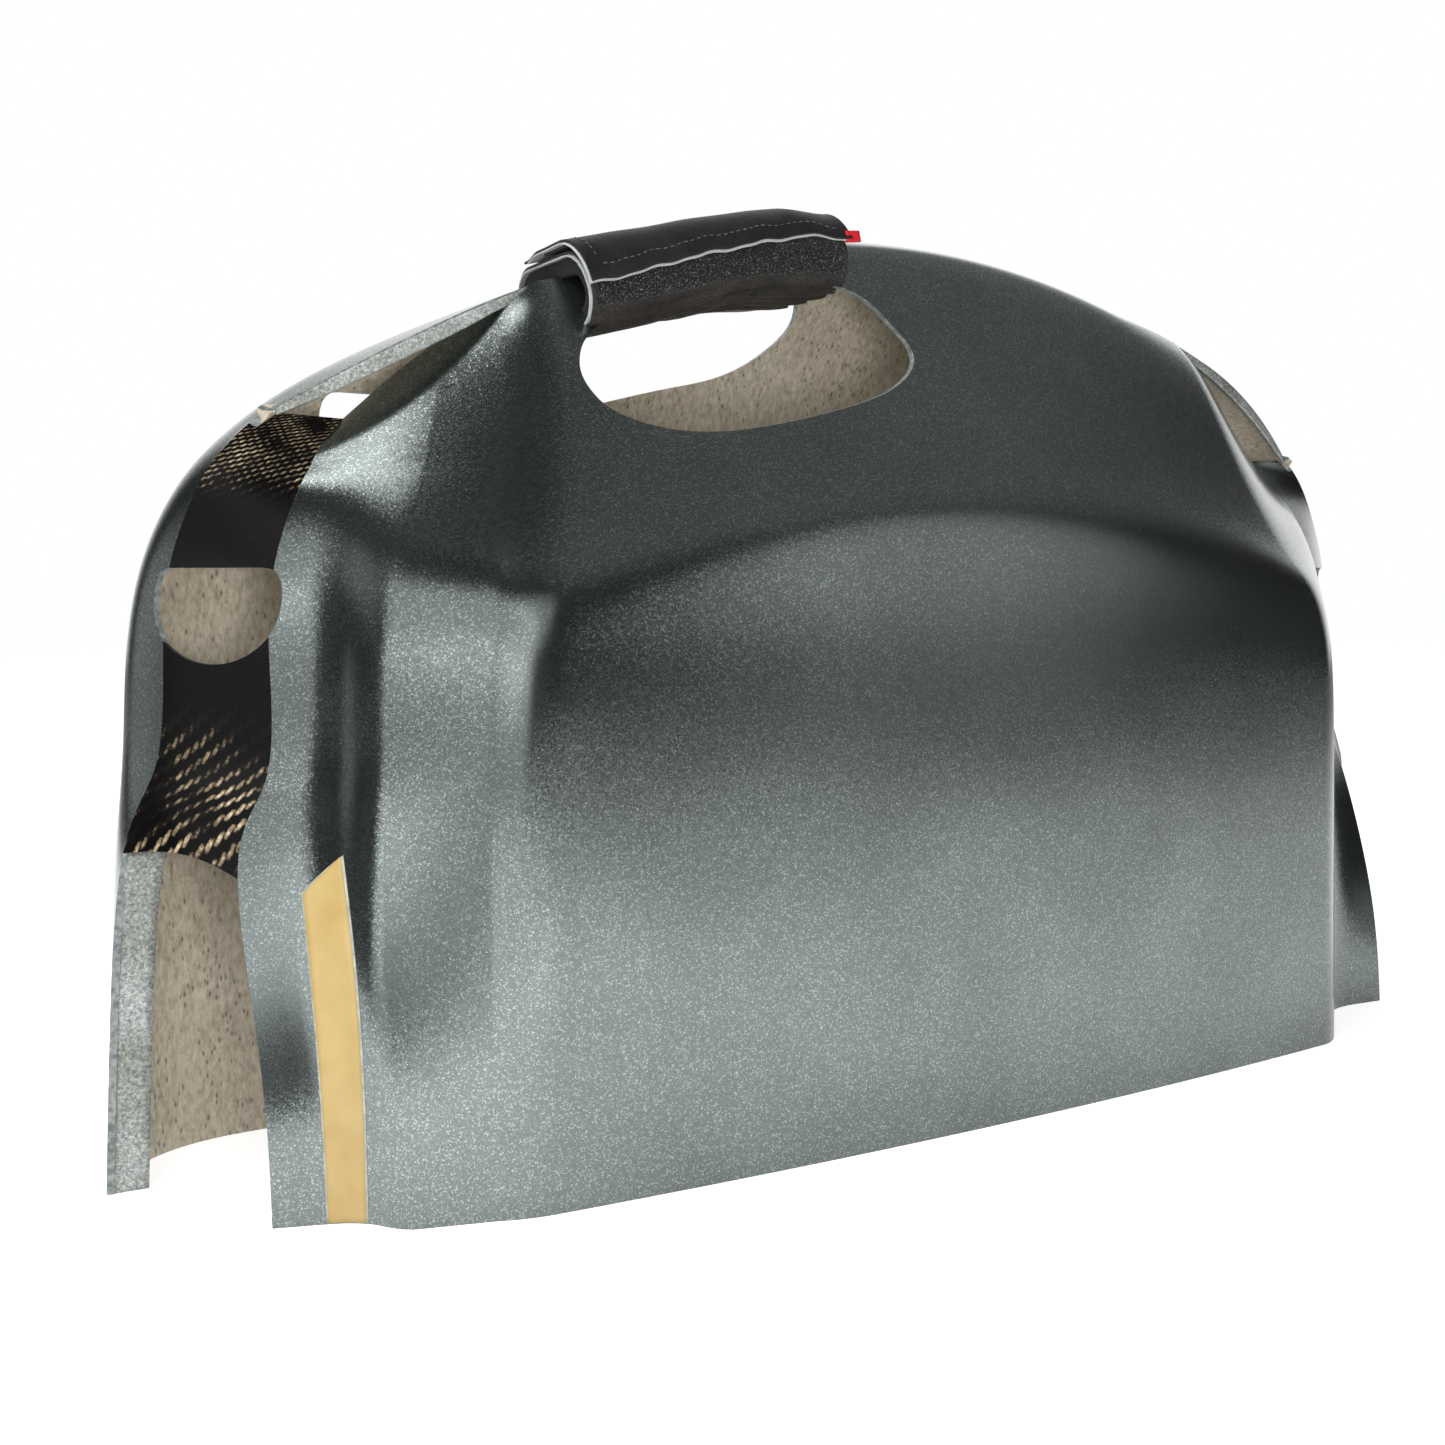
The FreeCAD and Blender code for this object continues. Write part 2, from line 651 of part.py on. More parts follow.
pieces["flap_felt"] = sleeve_part("flap_felt", LOOP_TOP, FLAP_FELT_TOP, -FLAP_INSET, FLAP_END_ANGLE, None)
pieces["flap_leather"] = sleeve_part("flap_leather", FLAP_FELT_TOP, FLAP_TOP, -FLAP_INSET,
                                     FLAP_END_ANGLE, None)
pieces["loop_tape"] = sleeve_part("loop_tape", LOOP_BOTTOM, LOOP_TOP, TAPE_INSET,
                                  FLAP_END_ANGLE - 3, LOOP_START_ANGLE)
pieces["hook_tape"] = sleeve_part("hook_tape", BODY_TOP, HOOK_TOP, TAPE_INSET / 2,
                                  HOOK_END_ANGLE, HOOK_START_ANGLE)

# Saddle stitches run along the flap's front edge, a thread's thickness proud of the leather
STITCH_PITCH, STITCH_LENGTH, THREAD_RADIUS = 2.8, 2.0, 0.35
STITCH_ANGLE = math.radians(14.0)
along_grip = grip_frame.Rotation.multVec(V(1, 0, 0))
flap_radius = size("grip_half_height") + FLAP_TOP
stitch_y = -round_middle - flap_radius * math.cos(STITCH_ANGLE)
stitch_z = flap_radius * math.sin(STITCH_ANGLE)
STITCH_MARGIN = 4.0


def thread(start, direction):
    return Part.makeCylinder(THREAD_RADIUS, STITCH_LENGTH, grip_frame.multVec(start), direction)


stitch_count = int((grip_length - 2 * STITCH_MARGIN) / STITCH_PITCH)
stitch_starts = [-grip_length / 2 + STITCH_MARGIN + i * STITCH_PITCH for i in range(stitch_count)]
pieces["flap_stitching"] = feature("flap_stitching", Part.makeCompound([
    thread(V(x, stitch_y, stitch_z), along_grip) for x in stitch_starts]))

# The right end of the leather is closed by a few stitches under the hook tape
end_radius = size("grip_half_height") + BODY_TOP


def end_thread(angle):
    start = V(grip_length / 2 - STITCH_MARGIN / 2, -round_middle - end_radius * math.cos(angle),
              -end_radius * math.sin(angle))
    return thread(start, V(0, math.sin(angle), -math.cos(angle)))


pieces["grip_end_stitching"] = feature("grip_end_stitching", Part.makeCompound([
    end_thread(math.radians(angle)) for angle in (40, 50, 60, 70, 80)]))


def draw_tab(sketch):
    # a plain rectangle with its sides bound to the sheet
    corners = [V(0, 0, 0), V(size("tab_length"), 0, 0), V(size("tab_length"), size("tab_width"), 0),
               V(0, size("tab_width"), 0)]
    for i in range(4):
        sketch.addGeometry(Part.LineSegment(corners[i], corners[(i + 1) % 4]), False)
    for i in range(4):
        sketch.addConstraint(Sketcher.Constraint("Coincident", i, 2, (i + 1) % 4, 1))
    sketch.addConstraint(Sketcher.Constraint("Horizontal", 0))
    sketch.addConstraint(Sketcher.Constraint("Horizontal", 2))
    sketch.addConstraint(Sketcher.Constraint("Vertical", 1))
    sketch.addConstraint(Sketcher.Constraint("Vertical", 3))
    sketch.addConstraint(Sketcher.Constraint("Coincident", 0, 1, -1, 1))
    across = sketch.addConstraint(Sketcher.Constraint("DistanceX", 0, 1, 0, 2, size("tab_length")))
    up = sketch.addConstraint(Sketcher.Constraint("DistanceY", 1, 1, 1, 2, size("tab_width")))
    sketch.setExpression("Constraints[%d]" % across, "Dimensions.tab_length")
    sketch.setExpression("Constraints[%d]" % up, "Dimensions.tab_width")


# The tab is sewn between the felt and the leather at the right end of the flap's free edge
TAB_SEWN_IN, TAB_LEVEL, TAB_DEPTH = 4.0, 2.7, 1.6
pieces["pull_tab"] = sketched_pad(
    "pull_tab", draw_tab,
    in_grip(grip_length / 2 - TAB_SEWN_IN, -round_middle - flap_radius + TAB_DEPTH, TAB_LEVEL, ON_EDGE),
    "1 mm")

doc.recompute()
for item in doc.Objects:
    if "Invalid" in item.State or "Error" in item.State:
        raise RuntimeError("%s is %s" % (item.Name, item.State))
os.makedirs("parts", exist_ok=True)
for name, item in pieces.items():
    item.Label = name
    shape = item.Shape
    if shape.isNull() or not shape.isValid() or not shape.Solids:
        raise RuntimeError("%s has no valid solid" % name)
    points, facets = shape.tessellate(0.5)
    box = FreeCAD.BoundBox()
    for point in points:
        box.add(point)
    print("%-24s solids %3d volume %9.0f  x %.1f %.1f y %.1f %.1f z %.1f %.1f" % (
        name, len(shape.Solids), shape.Volume, box.XMin, box.XMax, box.YMin, box.YMax, box.ZMin, box.ZMax))
    shape.exportStep("parts/%s.step" % name)
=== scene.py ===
# %% [markdown]
# A moulded racing seat shell. Two composite half shells stand on an open bottom. They are joined
# along the ridge and by a band down each side, and a leather wrapped hand grip is cut into the ridge.
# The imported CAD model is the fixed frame: every new piece is made in its coordinates, in metres.

# %% Load the frame
import functools
import math

import bmesh
import bpy
import numpy as np
from mathutils import Matrix, Vector
from mathutils.bvhtree import BVHTree


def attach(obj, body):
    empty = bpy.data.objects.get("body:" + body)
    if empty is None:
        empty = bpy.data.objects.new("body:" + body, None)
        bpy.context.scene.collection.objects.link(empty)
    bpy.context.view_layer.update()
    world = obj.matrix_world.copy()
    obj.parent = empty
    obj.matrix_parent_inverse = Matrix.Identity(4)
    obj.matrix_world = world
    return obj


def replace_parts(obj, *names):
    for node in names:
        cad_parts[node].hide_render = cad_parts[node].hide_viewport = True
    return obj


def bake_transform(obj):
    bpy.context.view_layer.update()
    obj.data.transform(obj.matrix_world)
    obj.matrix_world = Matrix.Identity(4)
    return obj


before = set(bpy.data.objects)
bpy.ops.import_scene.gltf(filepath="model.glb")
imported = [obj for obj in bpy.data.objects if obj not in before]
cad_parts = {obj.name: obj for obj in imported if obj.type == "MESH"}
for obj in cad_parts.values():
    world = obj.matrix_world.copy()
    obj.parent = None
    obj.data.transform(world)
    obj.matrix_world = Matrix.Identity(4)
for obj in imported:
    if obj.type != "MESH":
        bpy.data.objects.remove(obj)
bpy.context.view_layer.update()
MM = 0.001
print("frame", len(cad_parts), "nodes")


def linked(name, data):
    # an object for some data, placed in the scene
    item = bpy.data.objects.new(name, data)
    bpy.context.scene.collection.objects.link(item)
    return item


# %% [markdown]
# The camera comes first. It looks past the left front corner from a little below the ridge, so both
# the bulged front and the carbon band on the left side show.

# %% Camera
CAMERA_PLACE = Vector((-0.4034, -0.5408, 0.2131))
CAMERA_YAW = math.radians(30.23)       # from +Y towards +X
CAMERA_PITCH = math.radians(-5.267)
CAMERA_ROLL = math.radians(-0.155)
LENS_MM = 39.86                        # on a 36 mm wide sensor

camera_data = bpy.data.cameras.new("camera")
camera_data.lens = LENS_MM
camera_data.sensor_width = 36
camera_data.clip_start = 0.01
camera = linked("camera", camera_data)
camera.matrix_world = (
    Matrix.Translation(CAMERA_PLACE)
    @ Matrix.Rotation(-CAMERA_YAW, 4, "Z")
    @ Matrix.Rotation(math.radians(90) + CAMERA_PITCH, 4, "X")
    @ Matrix.Rotation(CAMERA_ROLL, 4, "Z"))
bpy.context.scene.camera = camera
bpy.context.scene.view_settings.view_transform = "Standard"

# %% [markdown]
# Materials are node trees. One function turns the sRGB hex of a colour into linear light, and one
# adds a node with its settings and links, so that each material below reads like a recipe.

# %% Material helpers


def linear(colour):
    # an sRGB hex value as a linear colour with alpha 1
    channels = [int(colour[i:i + 2], 16) / 255 for i in (1, 3, 5)]
    return [c / 12.92 if c <= 0.04045 else ((c + 0.055) / 1.055) ** 2.4 for c in channels] + [1.0]


def new_material(name):
    # a material and its empty node tree
    material = bpy.data.materials.new(name)
    material.use_nodes = True
    material.node_tree.nodes.clear()
    return material, material.node_tree


def add(tree, kind, settings=None, **inputs):
    # One node. The settings are its properties, or just its operation. An input is a plain value, a
    # node, which links that node's first output, or a (node, output) pair. Inputs named _0, _1 and
    # so on go by number.
    node = tree.nodes.new("ShaderNode" + kind)
    if isinstance(settings, str):
        settings = {"operation": settings}
    for prop, value in (settings or {}).items():
        setattr(node, prop, value)
    for name, value in inputs.items():
        key = int(name[1:]) if name[1:].isdigit() else name.replace("_", " ")
        source, output = value if isinstance(value, tuple) and len(value) == 2 else (value, 0)
        if hasattr(source, "bl_idname"):
            tree.links.new(source.outputs[output], node.inputs[key])
        else:
            node.inputs[key].default_value = value
    return node


def per_mm(size):
    # the scale of a pattern whose cells are this many millimetres wide
    return 1 / (size * MM)


def ramp(tree, source, *stops):
    # a colour ramp from (position, colour) stops
    node = add(tree, "ValToRGB", Fac=source)
    while len(node.color_ramp.elements) < len(stops):
        node.color_ramp.elements.new(0.5)
    for element, (position, colour) in zip(node.color_ramp.elements, stops):
        element.position = position
        element.color = linear(colour)
    return node


# %% [markdown]
# Light. The studio is a white floor and a white backdrop behind the shell, in a dark room. A row of
# large softboxes stands high on the left, a small lamp hangs over the left shoulder and makes the
# round highlight there, and the right side gets little. The dark room at eye level is what gives
# the metallic paint its black hollows. The softboxes are smooth lobes in the sky, because their
# edges are never seen in the paint. Three lamps that the paint doesn't reflect light the leather and
# the matt inside, as white cards beside a camera do.

# %% Studio
ROOM = 0.02                # the dark room's own light
WHITE = (1.0, 1.0, 1.0, 1.0)
SOFT_LIGHTS = [            # azimuth from +Y towards +X, elevation, inner and outer angle, level
    (math.degrees(CAMERA_YAW), 2, 24, 62, 1.0),            # the backdrop behind the shell
    (-131, 3, 14, 22, 0.85), (-131, 24, 12, 23, 0.95), (-150, 34, 3, 20, 0.6), (-90, 69, 1.5, 10, 3.2),
    (-90, 30, 4, 16, 0.35), (120, 62, 10, 42, 0.18), (145, 16, 3, 22, 0.6), (60, 35, 8, 40, 0.12),
    (-55, 5, 6, 24, 0.4)]


def direction_of(azimuth, elevation):
    # a unit vector, with the azimuth from +Y towards +X, both in degrees
    a, e = math.radians(azimuth), math.radians(elevation)
    return (math.sin(a) * math.cos(e), math.cos(a) * math.cos(e), math.sin(e))


def lobe(tree, source, azimuth, elevation, inner, outer, level):
    # a soft patch of light round a direction
    near = add(tree, "VectorMath", "DOT_PRODUCT", _0=source,
               _1=direction_of(azimuth, elevation))
    return add(tree, "MapRange", {"interpolation_type": "SMOOTHSTEP"}, Value=(near, "Value"),
               From_Min=math.cos(math.radians(outer)), From_Max=math.cos(math.radians(inner)),
               To_Min=0.0, To_Max=level)


world = bpy.data.worlds.new("studio")
bpy.context.scene.world = world
world.use_nodes = True
world.node_tree.nodes.clear()
tree = world.node_tree
source = (add(tree, "TexCoord"), "Generated")
total = ROOM
for row in SOFT_LIGHTS:
    total = add(tree, "Math", "ADD", _0=total, _1=lobe(tree, source, *row))
camera_ray = (add(tree, "LightPath"), "Is Camera Ray")
level = add(tree, "Mix", {"data_type": "FLOAT"}, Factor=camera_ray, _2=total, _3=1.0)
sky = add(tree, "Background", Color=WHITE, Strength=level)
add(tree, "OutputWorld", Surface=sky)


def hidden_lamp(name, watts, size, place, target):
    # a square area lamp; the paint doesn't reflect it, so it sees only the smooth sky
    data = bpy.data.lights.new(name, "AREA")
    data.energy = watts
    data.size = size
    lamp = linked(name, data)
    lamp.location = place
    lamp.rotation_euler = (Vector(target) - place).to_track_quat("-Z", "Y").to_euler()
    lamp.visible_glossy = False


hidden_lamp("overhead_softbox", 45, 1.3, Vector(direction_of(-70, 62)) * 1.9, (0, 0, 0))
hidden_lamp("hole_fill", 1.2, 0.35, CAMERA_PLACE + Vector((-0.10, 0.0, 0.22)), (0.0, 0.0, 0.22))
hidden_lamp("interior_fill", 1.8, 0.15, CAMERA_PLACE + Vector((0.10, -0.06, -0.03)), (0.0, 0.0, 0.25))

FLOOR_SEEN = 0.80          # how bright the paper looks to the camera, next to its shadow
# painted light: two glowing pools on the paper, round the shell and off to the front left, seen in the
# paint and lighting the shell, while the camera sees the paper evenly
PAINTED_FLOOR_GLOWS = [            # what it sends into the paint: place, inner and outer distance, level
    ((0.0, 0.0, 0.0), 0.4, 3.0, 0.45), ((-1.1, -0.8, 0.0), 0.3, 1.3, 0.65)]
floor_paper, tree = new_material("white_paper")
paper = add(tree, "BsdfDiffuse", Color=linear("#c8c8c8"))
place = (add(tree, "TexCoord"), "Object")
total = 0.0
for middle, inner, outer, level in PAINTED_FLOOR_GLOWS:
    away = add(tree, "VectorMath", "DISTANCE", _0=place, _1=middle)
    lit = add(tree, "MapRange", {"interpolation_type": "SMOOTHSTEP"}, Value=(away, "Value"),
              From_Min=inner, From_Max=outer, To_Min=level, To_Max=0.0)
    total = add(tree, "Math", "ADD", _0=total, _1=lit)
camera_ray = (add(tree, "LightPath"), "Is Camera Ray")
strength = add(tree, "Mix", {"data_type": "FLOAT"}, Factor=camera_ray, _2=total, _3=FLOOR_SEEN)
glow = add(tree, "Emission", Color=WHITE, Strength=strength)
add(tree, "OutputMaterial", Surface=add(tree, "AddShader", _0=paper, _1=glow))

FLOOR_RADIUS = 8.0
floor_mesh = bmesh.new()
bmesh.ops.create_circle(floor_mesh, cap_ends=True, segments=64, radius=FLOOR_RADIUS)
floor_data = bpy.data.meshes.new("floor")
floor_mesh.to_mesh(floor_data)
floor_mesh.free()
floor_data.materials.append(floor_paper)
linked("floor", floor_data)
print("studio ready")

# %% [markdown]
# Metallic paint is a silver-grey base full of aluminium flakes under clear coat. Each flake tilts
# its own way, so the paint sparkles in grains of about half a millimetre. A cell pattern gives every
# flake its own tilt and brightness, while the clear coat over it stays smooth.

# %% Metallic paint
FLAKE_MM = 0.45            # coarse flake, drawn as large as it reads from a step away
FLAKE_TILT = 0.05


def metallic_paint():
    material, tree = new_material("metallic_flake_paint")
    place = (add(tree, "TexCoord"), "Object")
    # every cell of the pattern leans the surface's own normal its own way
    cells = add(tree, "TexVoronoi", {"feature": "F1"}, Vector=place, Scale=per_mm(FLAKE_MM))
    tilt = add(tree, "VectorMath", "SUBTRACT", _0=(cells, "Color"), _1=(0.5, 0.5, 0.5))
    small = add(tree, "VectorMath", "SCALE", _0=tilt, Scale=FLAKE_TILT)
    shape = add(tree, "NewGeometry")
    leaning = add(tree, "VectorMath", "ADD", _0=(shape, "Normal"), _1=small)
    lean = add(tree, "VectorMath", "NORMALIZE", _0=leaning)
    grain = add(tree, "SeparateColor", Color=(cells, "Color"))
    mottle = add(tree, "TexNoise", Vector=place, Scale=per_mm(55.56), Detail=3.0)
    bright = add(tree, "Math", "POWER", _0=grain, _1=2.2)
    flakes = ramp(tree, bright, (0.0, "#757e7d"), (0.6, "#88918f"), (1.0, "#b4bdb8"))
    patchy = ramp(tree, mottle, (0.3, "#e8e8e8"), (0.7, "#ffffff"))
    base = add(tree, "Mix", {"data_type": "RGBA", "blend_type": "MULTIPLY"}, Factor=1.0,
               _6=flakes, _7=patchy)
    surface = add(tree, "BsdfPrincipled", Base_Color=(base, 2), Metallic=0.96, Roughness=0.18,
                  Normal=lean, Coat_Weight=0.5, Coat_Roughness=0.13, Coat_IOR=1.45)
    add(tree, "OutputMaterial", Surface=surface)
    return material


# %% [markdown]
# Carbon twill is woven from flat tows of black fibre, each passing over two and under two of the
# others. The tows that lie along the light look brown-grey through the clear epoxy, the others stay
# black; that brown-grey is a painted reflection, put into the base colour of the warp floats. The
# pattern is worked out in tow widths on the band's own UV map.

# %% Carbon twill
TOW_ACROSS = (-642.0, -259.0, 0.0)     # tows per metre of the band's u and v, counted across
TOW_ALONG = (27.0, 543.0, 0.0)         # and along the warp; draping has sheared the cloth


def wrapped(tree, source, base):
    # source modulo base, always positive
    share = add(tree, "Math", "DIVIDE", _0=source, _1=base)
    part = add(tree, "Math", "FRACT", _0=share)
    return add(tree, "Math", "MULTIPLY", _0=part, _1=base)


def float_profile(tree, along, across):
    # the height of one float: a rounded bar two cells long and one cell wide, zero elsewhere
    steps = add(tree, "Math", "FLOOR", _0=across)
    shifted = add(tree, "Math", "SUBTRACT", _0=along, _1=steps)
    turn = wrapped(tree, shifted, 4.0)
    share = add(tree, "Math", "DIVIDE", _0=turn, _1=2.0)
    on_top = add(tree, "Math", "LESS_THAN", _0=share, _1=1.0)
    arch = add(tree, "Math", "MULTIPLY", _0=share, _1=math.pi)
    rise = add(tree, "Math", "SINE", _0=arch)
    level = add(tree, "Math", "MULTIPLY", _0=rise, _1=on_top)
    cell = wrapped(tree, across, 1.0)
    cell_arch = add(tree, "Math", "MULTIPLY", _0=cell, _1=math.pi)
    crown = add(tree, "Math", "SINE", _0=cell_arch)
    body = add(tree, "Math", "MULTIPLY", _0=level, _1=crown)
    return add(tree, "Math", "POWER", _0=body, _1=0.4)


def carbon_twill():
    material, tree = new_material("carbon_twill_clear_coat")
    coordinates = add(tree, "TexCoord")
    place = (coordinates, "Object")
    wave = add(tree, "TexNoise", Vector=place, Scale=per_mm(10.53), Detail=2.0)
    shift = add(tree, "VectorMath", "SUBTRACT", _0=(wave, "Color"), _1=(0.5, 0.5, 0.5))
    bent = add(tree, "VectorMath", "MULTIPLY_ADD", _0=shift,
               _1=(0.0014, 0.0014, 0.0), _2=(coordinates, "UV"))
    across = add(tree, "VectorMath", "DOT_PRODUCT", _0=bent, _1=TOW_ACROSS)
    along = add(tree, "VectorMath", "DOT_PRODUCT", _0=bent, _1=TOW_ALONG)
    warp = float_profile(tree, (along, "Value"), (across, "Value"))
    minus = add(tree, "Math", "SUBTRACT", _0=(across, "Value"), _1=1.0)
    weft = float_profile(tree, minus, (along, "Value"))
    lay = add(tree, "TexNoise", Vector=place, Scale=per_mm(20.83), Detail=4.0, Roughness=0.65)
    grain = add(tree, "TexNoise", Vector=place, Scale=per_mm(1.111), Detail=3.0)
    # painted highlight: an attribute set by height on the band scales the warp's painted reflection
    painted_highlight = add(tree, "Attribute", {"attribute_name": "painted_highlight"})
    lit = add(tree, "MapRange", Value=lay, From_Min=0.32, From_Max=0.6)
    shown = add(tree, "Math", "MULTIPLY", _0=warp, _1=lit)
    mixed = add(tree, "Math", "MULTIPLY", _0=shown, _1=(painted_highlight, "Fac"))
    speck = add(tree, "MapRange", Value=grain, From_Min=0.3, From_Max=0.75, To_Min=0.55,
                To_Max=1.25)
    final = add(tree, "Math", "MULTIPLY", _0=mixed, _1=speck)
    # the brown-grey stops are the painted reflection of the warp tows; the black is the fibre's own
    # colour
    colour = ramp(tree, final, (0.0, "#070707"), (0.28, "#16130f"), (0.62, "#7d6e58"),
                  (1.0, "#c2b294"))
    both = add(tree, "Math", "MAXIMUM", _0=warp, _1=weft)
    relief = add(tree, "Bump", Height=both, Strength=0.35, Distance=0.00025)
    surface = add(tree, "BsdfPrincipled", Base_Color=colour, Roughness=0.5, Specular_IOR_Level=0.05,
                  Normal=relief, Coat_Weight=0.2, Coat_Roughness=0.06, Coat_IOR=1.5)
    add(tree, "OutputMaterial", Surface=surface)
    return material


# %% [markdown]
# The inside is the raw back of the laminate: a beige core mat soaked with resin, matt and slightly
# wavy, with small dark dots where the surface also dips a little. Its cut edges were hit by
# grey overspray when the outside was painted.

# %% Raw mat and overspray


def raw_mat():
    material, tree = new_material("raw_core_mat")
    place = (add(tree, "TexCoord"), "Object")
    cloud = add(tree, "TexNoise", Vector=place, Scale=per_mm(71.43), Detail=5.0, Roughness=0.6)
    fibre = add(tree, "Mapping", Vector=place, Scale=(1.0, 1.0, 0.42))
    fine = add(tree, "TexNoise", Vector=fibre, Scale=per_mm(1.923), Detail=4.0, Roughness=0.7)
    holes = add(tree, "TexVoronoi", {"feature": "F1"}, Vector=fibre, Scale=per_mm(1.613))
    pick = add(tree, "SeparateColor", Color=(holes, "Color"))
    dirty = add(tree, "TexNoise", Vector=fibre, Scale=per_mm(18.18), Detail=3.0)
    many = add(tree, "MapRange", Value=dirty, From_Min=0.35, From_Max=0.68, To_Min=0.95,
               To_Max=0.35)
    few = add(tree, "Math", "GREATER_THAN", _0=pick, _1=many)
    near = add(tree, "MapRange", Value=(holes, "Distance"), From_Min=0.1, From_Max=0.42,
               To_Min=0.75, To_Max=0.0)
    pit = add(tree, "Math", "MULTIPLY", _0=near, _1=few)
    tone = ramp(tree, cloud, (0.25, "#bdb3a2"), (0.5, "#cfc6b5"), (0.75, "#dcd4c4"))
    dusty = ramp(tree, fine, (0.3, "#bdb8ae"), (0.7, "#ffffff"))
    base = add(tree, "Mix", {"data_type": "RGBA", "blend_type": "MULTIPLY"}, Factor=1.0,
               _6=tone, _7=dusty)
    pitted = add(tree, "Mix", {"data_type": "RGBA"}, Factor=pit, _6=(base, 2),
                 _7=linear("#4f4a41"))
    ground = add(tree, "Math", "SUBTRACT", _0=fine, _1=pit)
    relief = add(tree, "Bump", Height=ground, Strength=0.4, Distance=0.0005)
    surface = add(tree, "BsdfPrincipled", Base_Color=(pitted, 2), Roughness=0.78,
                  Normal=relief, Specular_IOR_Level=0.3)
    add(tree, "OutputMaterial", Surface=surface)
    return material


def overspray():
    material, tree = new_material("grey_overspray_on_mat")
    place = (add(tree, "TexCoord"), "Object")
    dots = add(tree, "TexNoise", Vector=place, Scale=per_mm(1.111), Detail=3.0, Roughness=0.8)
    cloud = add(tree, "TexNoise", Vector=place, Scale=per_mm(25.0), Detail=4.0)
    speckle = ramp(tree, dots, (0.34, "#6d7473"), (0.52, "#a3a9a6"), (0.68, "#d8dbd6"))
    bare = ramp(tree, cloud, (0.35, "#b5b2a8"), (0.65, "#ffffff"))
    base = add(tree, "Mix", {"data_type": "RGBA", "blend_type": "MULTIPLY"}, Factor=0.8,
               _6=speckle, _7=bare)
    relief = add(tree, "Bump", Height=dots, Strength=0.4, Distance=0.0004)
    surface = add(tree, "BsdfPrincipled", Base_Color=(base, 2), Roughness=0.5, Metallic=0.25,
                  Normal=relief)
    add(tree, "OutputMaterial", Surface=surface)
    return material


# %% [markdown]
# The grip is wrapped in black leather with a pale felt backing whose cut edge shows as a white line.
# The flap closes with hook and loop tape, which is black nylon pile.

# %% Leather, felt, hook and loop tape, thread and ribbon


def leather(name, low, high, grain_mm=1.1, depth=0.00035):
    material, tree = new_material(name)
    place = (add(tree, "TexCoord"), "Object")
    cells = add(tree, "TexVoronoi", {"feature": "DISTANCE_TO_EDGE"}, Vector=place,
                Scale=per_mm(grain_mm))
    pores = add(tree, "TexNoise", Vector=place, Scale=per_mm(0.625), Detail=2.0)
    crease = add(tree, "TexNoise", Vector=place, Scale=per_mm(16.67), Detail=5.0, Distortion=0.8)
    tone = ramp(tree, crease, (0.3, low), (0.7, high))
    top = add(tree, "MapRange", Value=cells, From_Min=0.0, From_Max=0.12)
    layers = add(tree, "Math", "MULTIPLY_ADD", _0=pores, _1=0.35, _2=top)
    relief = add(tree, "Bump", Height=layers, Strength=0.5, Distance=depth)
    surface = add(tree, "BsdfPrincipled", Base_Color=tone, Roughness=0.42, Normal=relief,
                  Specular_IOR_Level=0.45)
    add(tree, "OutputMaterial", Surface=surface)
    return material


def pile(name, dark, fibre_and_glint_tone, fibre_mm, roughness=0.9):
    # nylon or felt fibres: fine light points on a dark ground; on the hook tape these points are
    # painted glints of the hooks
    material, tree = new_material(name)
    place = (add(tree, "TexCoord"), "Object")
    fibres = add(tree, "TexNoise", Vector=place, Scale=per_mm(fibre_mm), Detail=3.0,
                 Roughness=0.75)
    tone = ramp(tree, fibres, (0.42, dark), (0.57, dark), (0.68, fibre_and_glint_tone))
    relief = add(tree, "Bump", Height=fibres, Strength=0.9, Distance=0.0006)
    surface = add(tree, "BsdfPrincipled", Base_Color=tone, Roughness=roughness,
                  Normal=relief, Sheen_Weight=0.1, Sheen_Roughness=0.5)
    add(tree, "OutputMaterial", Surface=surface)
    return material


def plain(name, low, high, roughness, cloud_mm, detail=4.0, spread=0.2, bump=0.12):
    # a nearly even finish with a faint cloud in its colour and surface
    material, tree = new_material(name)
    place = (add(tree, "TexCoord"), "Object")
    cloud = add(tree, "TexNoise", Vector=place, Scale=per_mm(cloud_mm), Detail=detail)
    tone = ramp(tree, cloud, (0.5 - spread, low), (0.5 + spread, high))
    relief = add(tree, "Bump", Height=cloud, Strength=bump, Distance=0.0003)
    surface = add(tree, "BsdfPrincipled", Base_Color=tone, Roughness=roughness, Normal=relief)
    add(tree, "OutputMaterial", Surface=surface)
    return material


PAINT = metallic_paint()
CARBON = carbon_twill()
RAW = raw_mat()
OVERSPRAY = overspray()
SAWN = {"roughness": 0.5, "cloud_mm": 1.923, "detail": 3.0, "spread": 0.15, "bump": 0.4}
# the cut faces carry the outside's grey paint, and this matt grey is kept paler than the metallic so
# that the edges read as thin bright lines: partly real paint, partly a painted highlight
PAINTED_EDGE_WITH_HIGHLIGHT = plain("painted_laminate_edge_with_highlight", "#5d6465", "#8f9694", **SAWN)
DARK_EDGE = plain("sawn_carbon_edge", "#1d1f21", "#3f4143", **SAWN)
LEATHER = leather("black_grained_leather", "#121213", "#1f1f20")
# the sleeve's underside is coloured paler and browner than the flap, with a coarser grain
UNDER_LEATHER = leather("paler_underside_leather", "#191816", "#2f2b27", grain_mm=1.6, depth=0.0006)
FELT = pile("pale_felt", "#a9ada8", "#e4e8e2", 0.5)
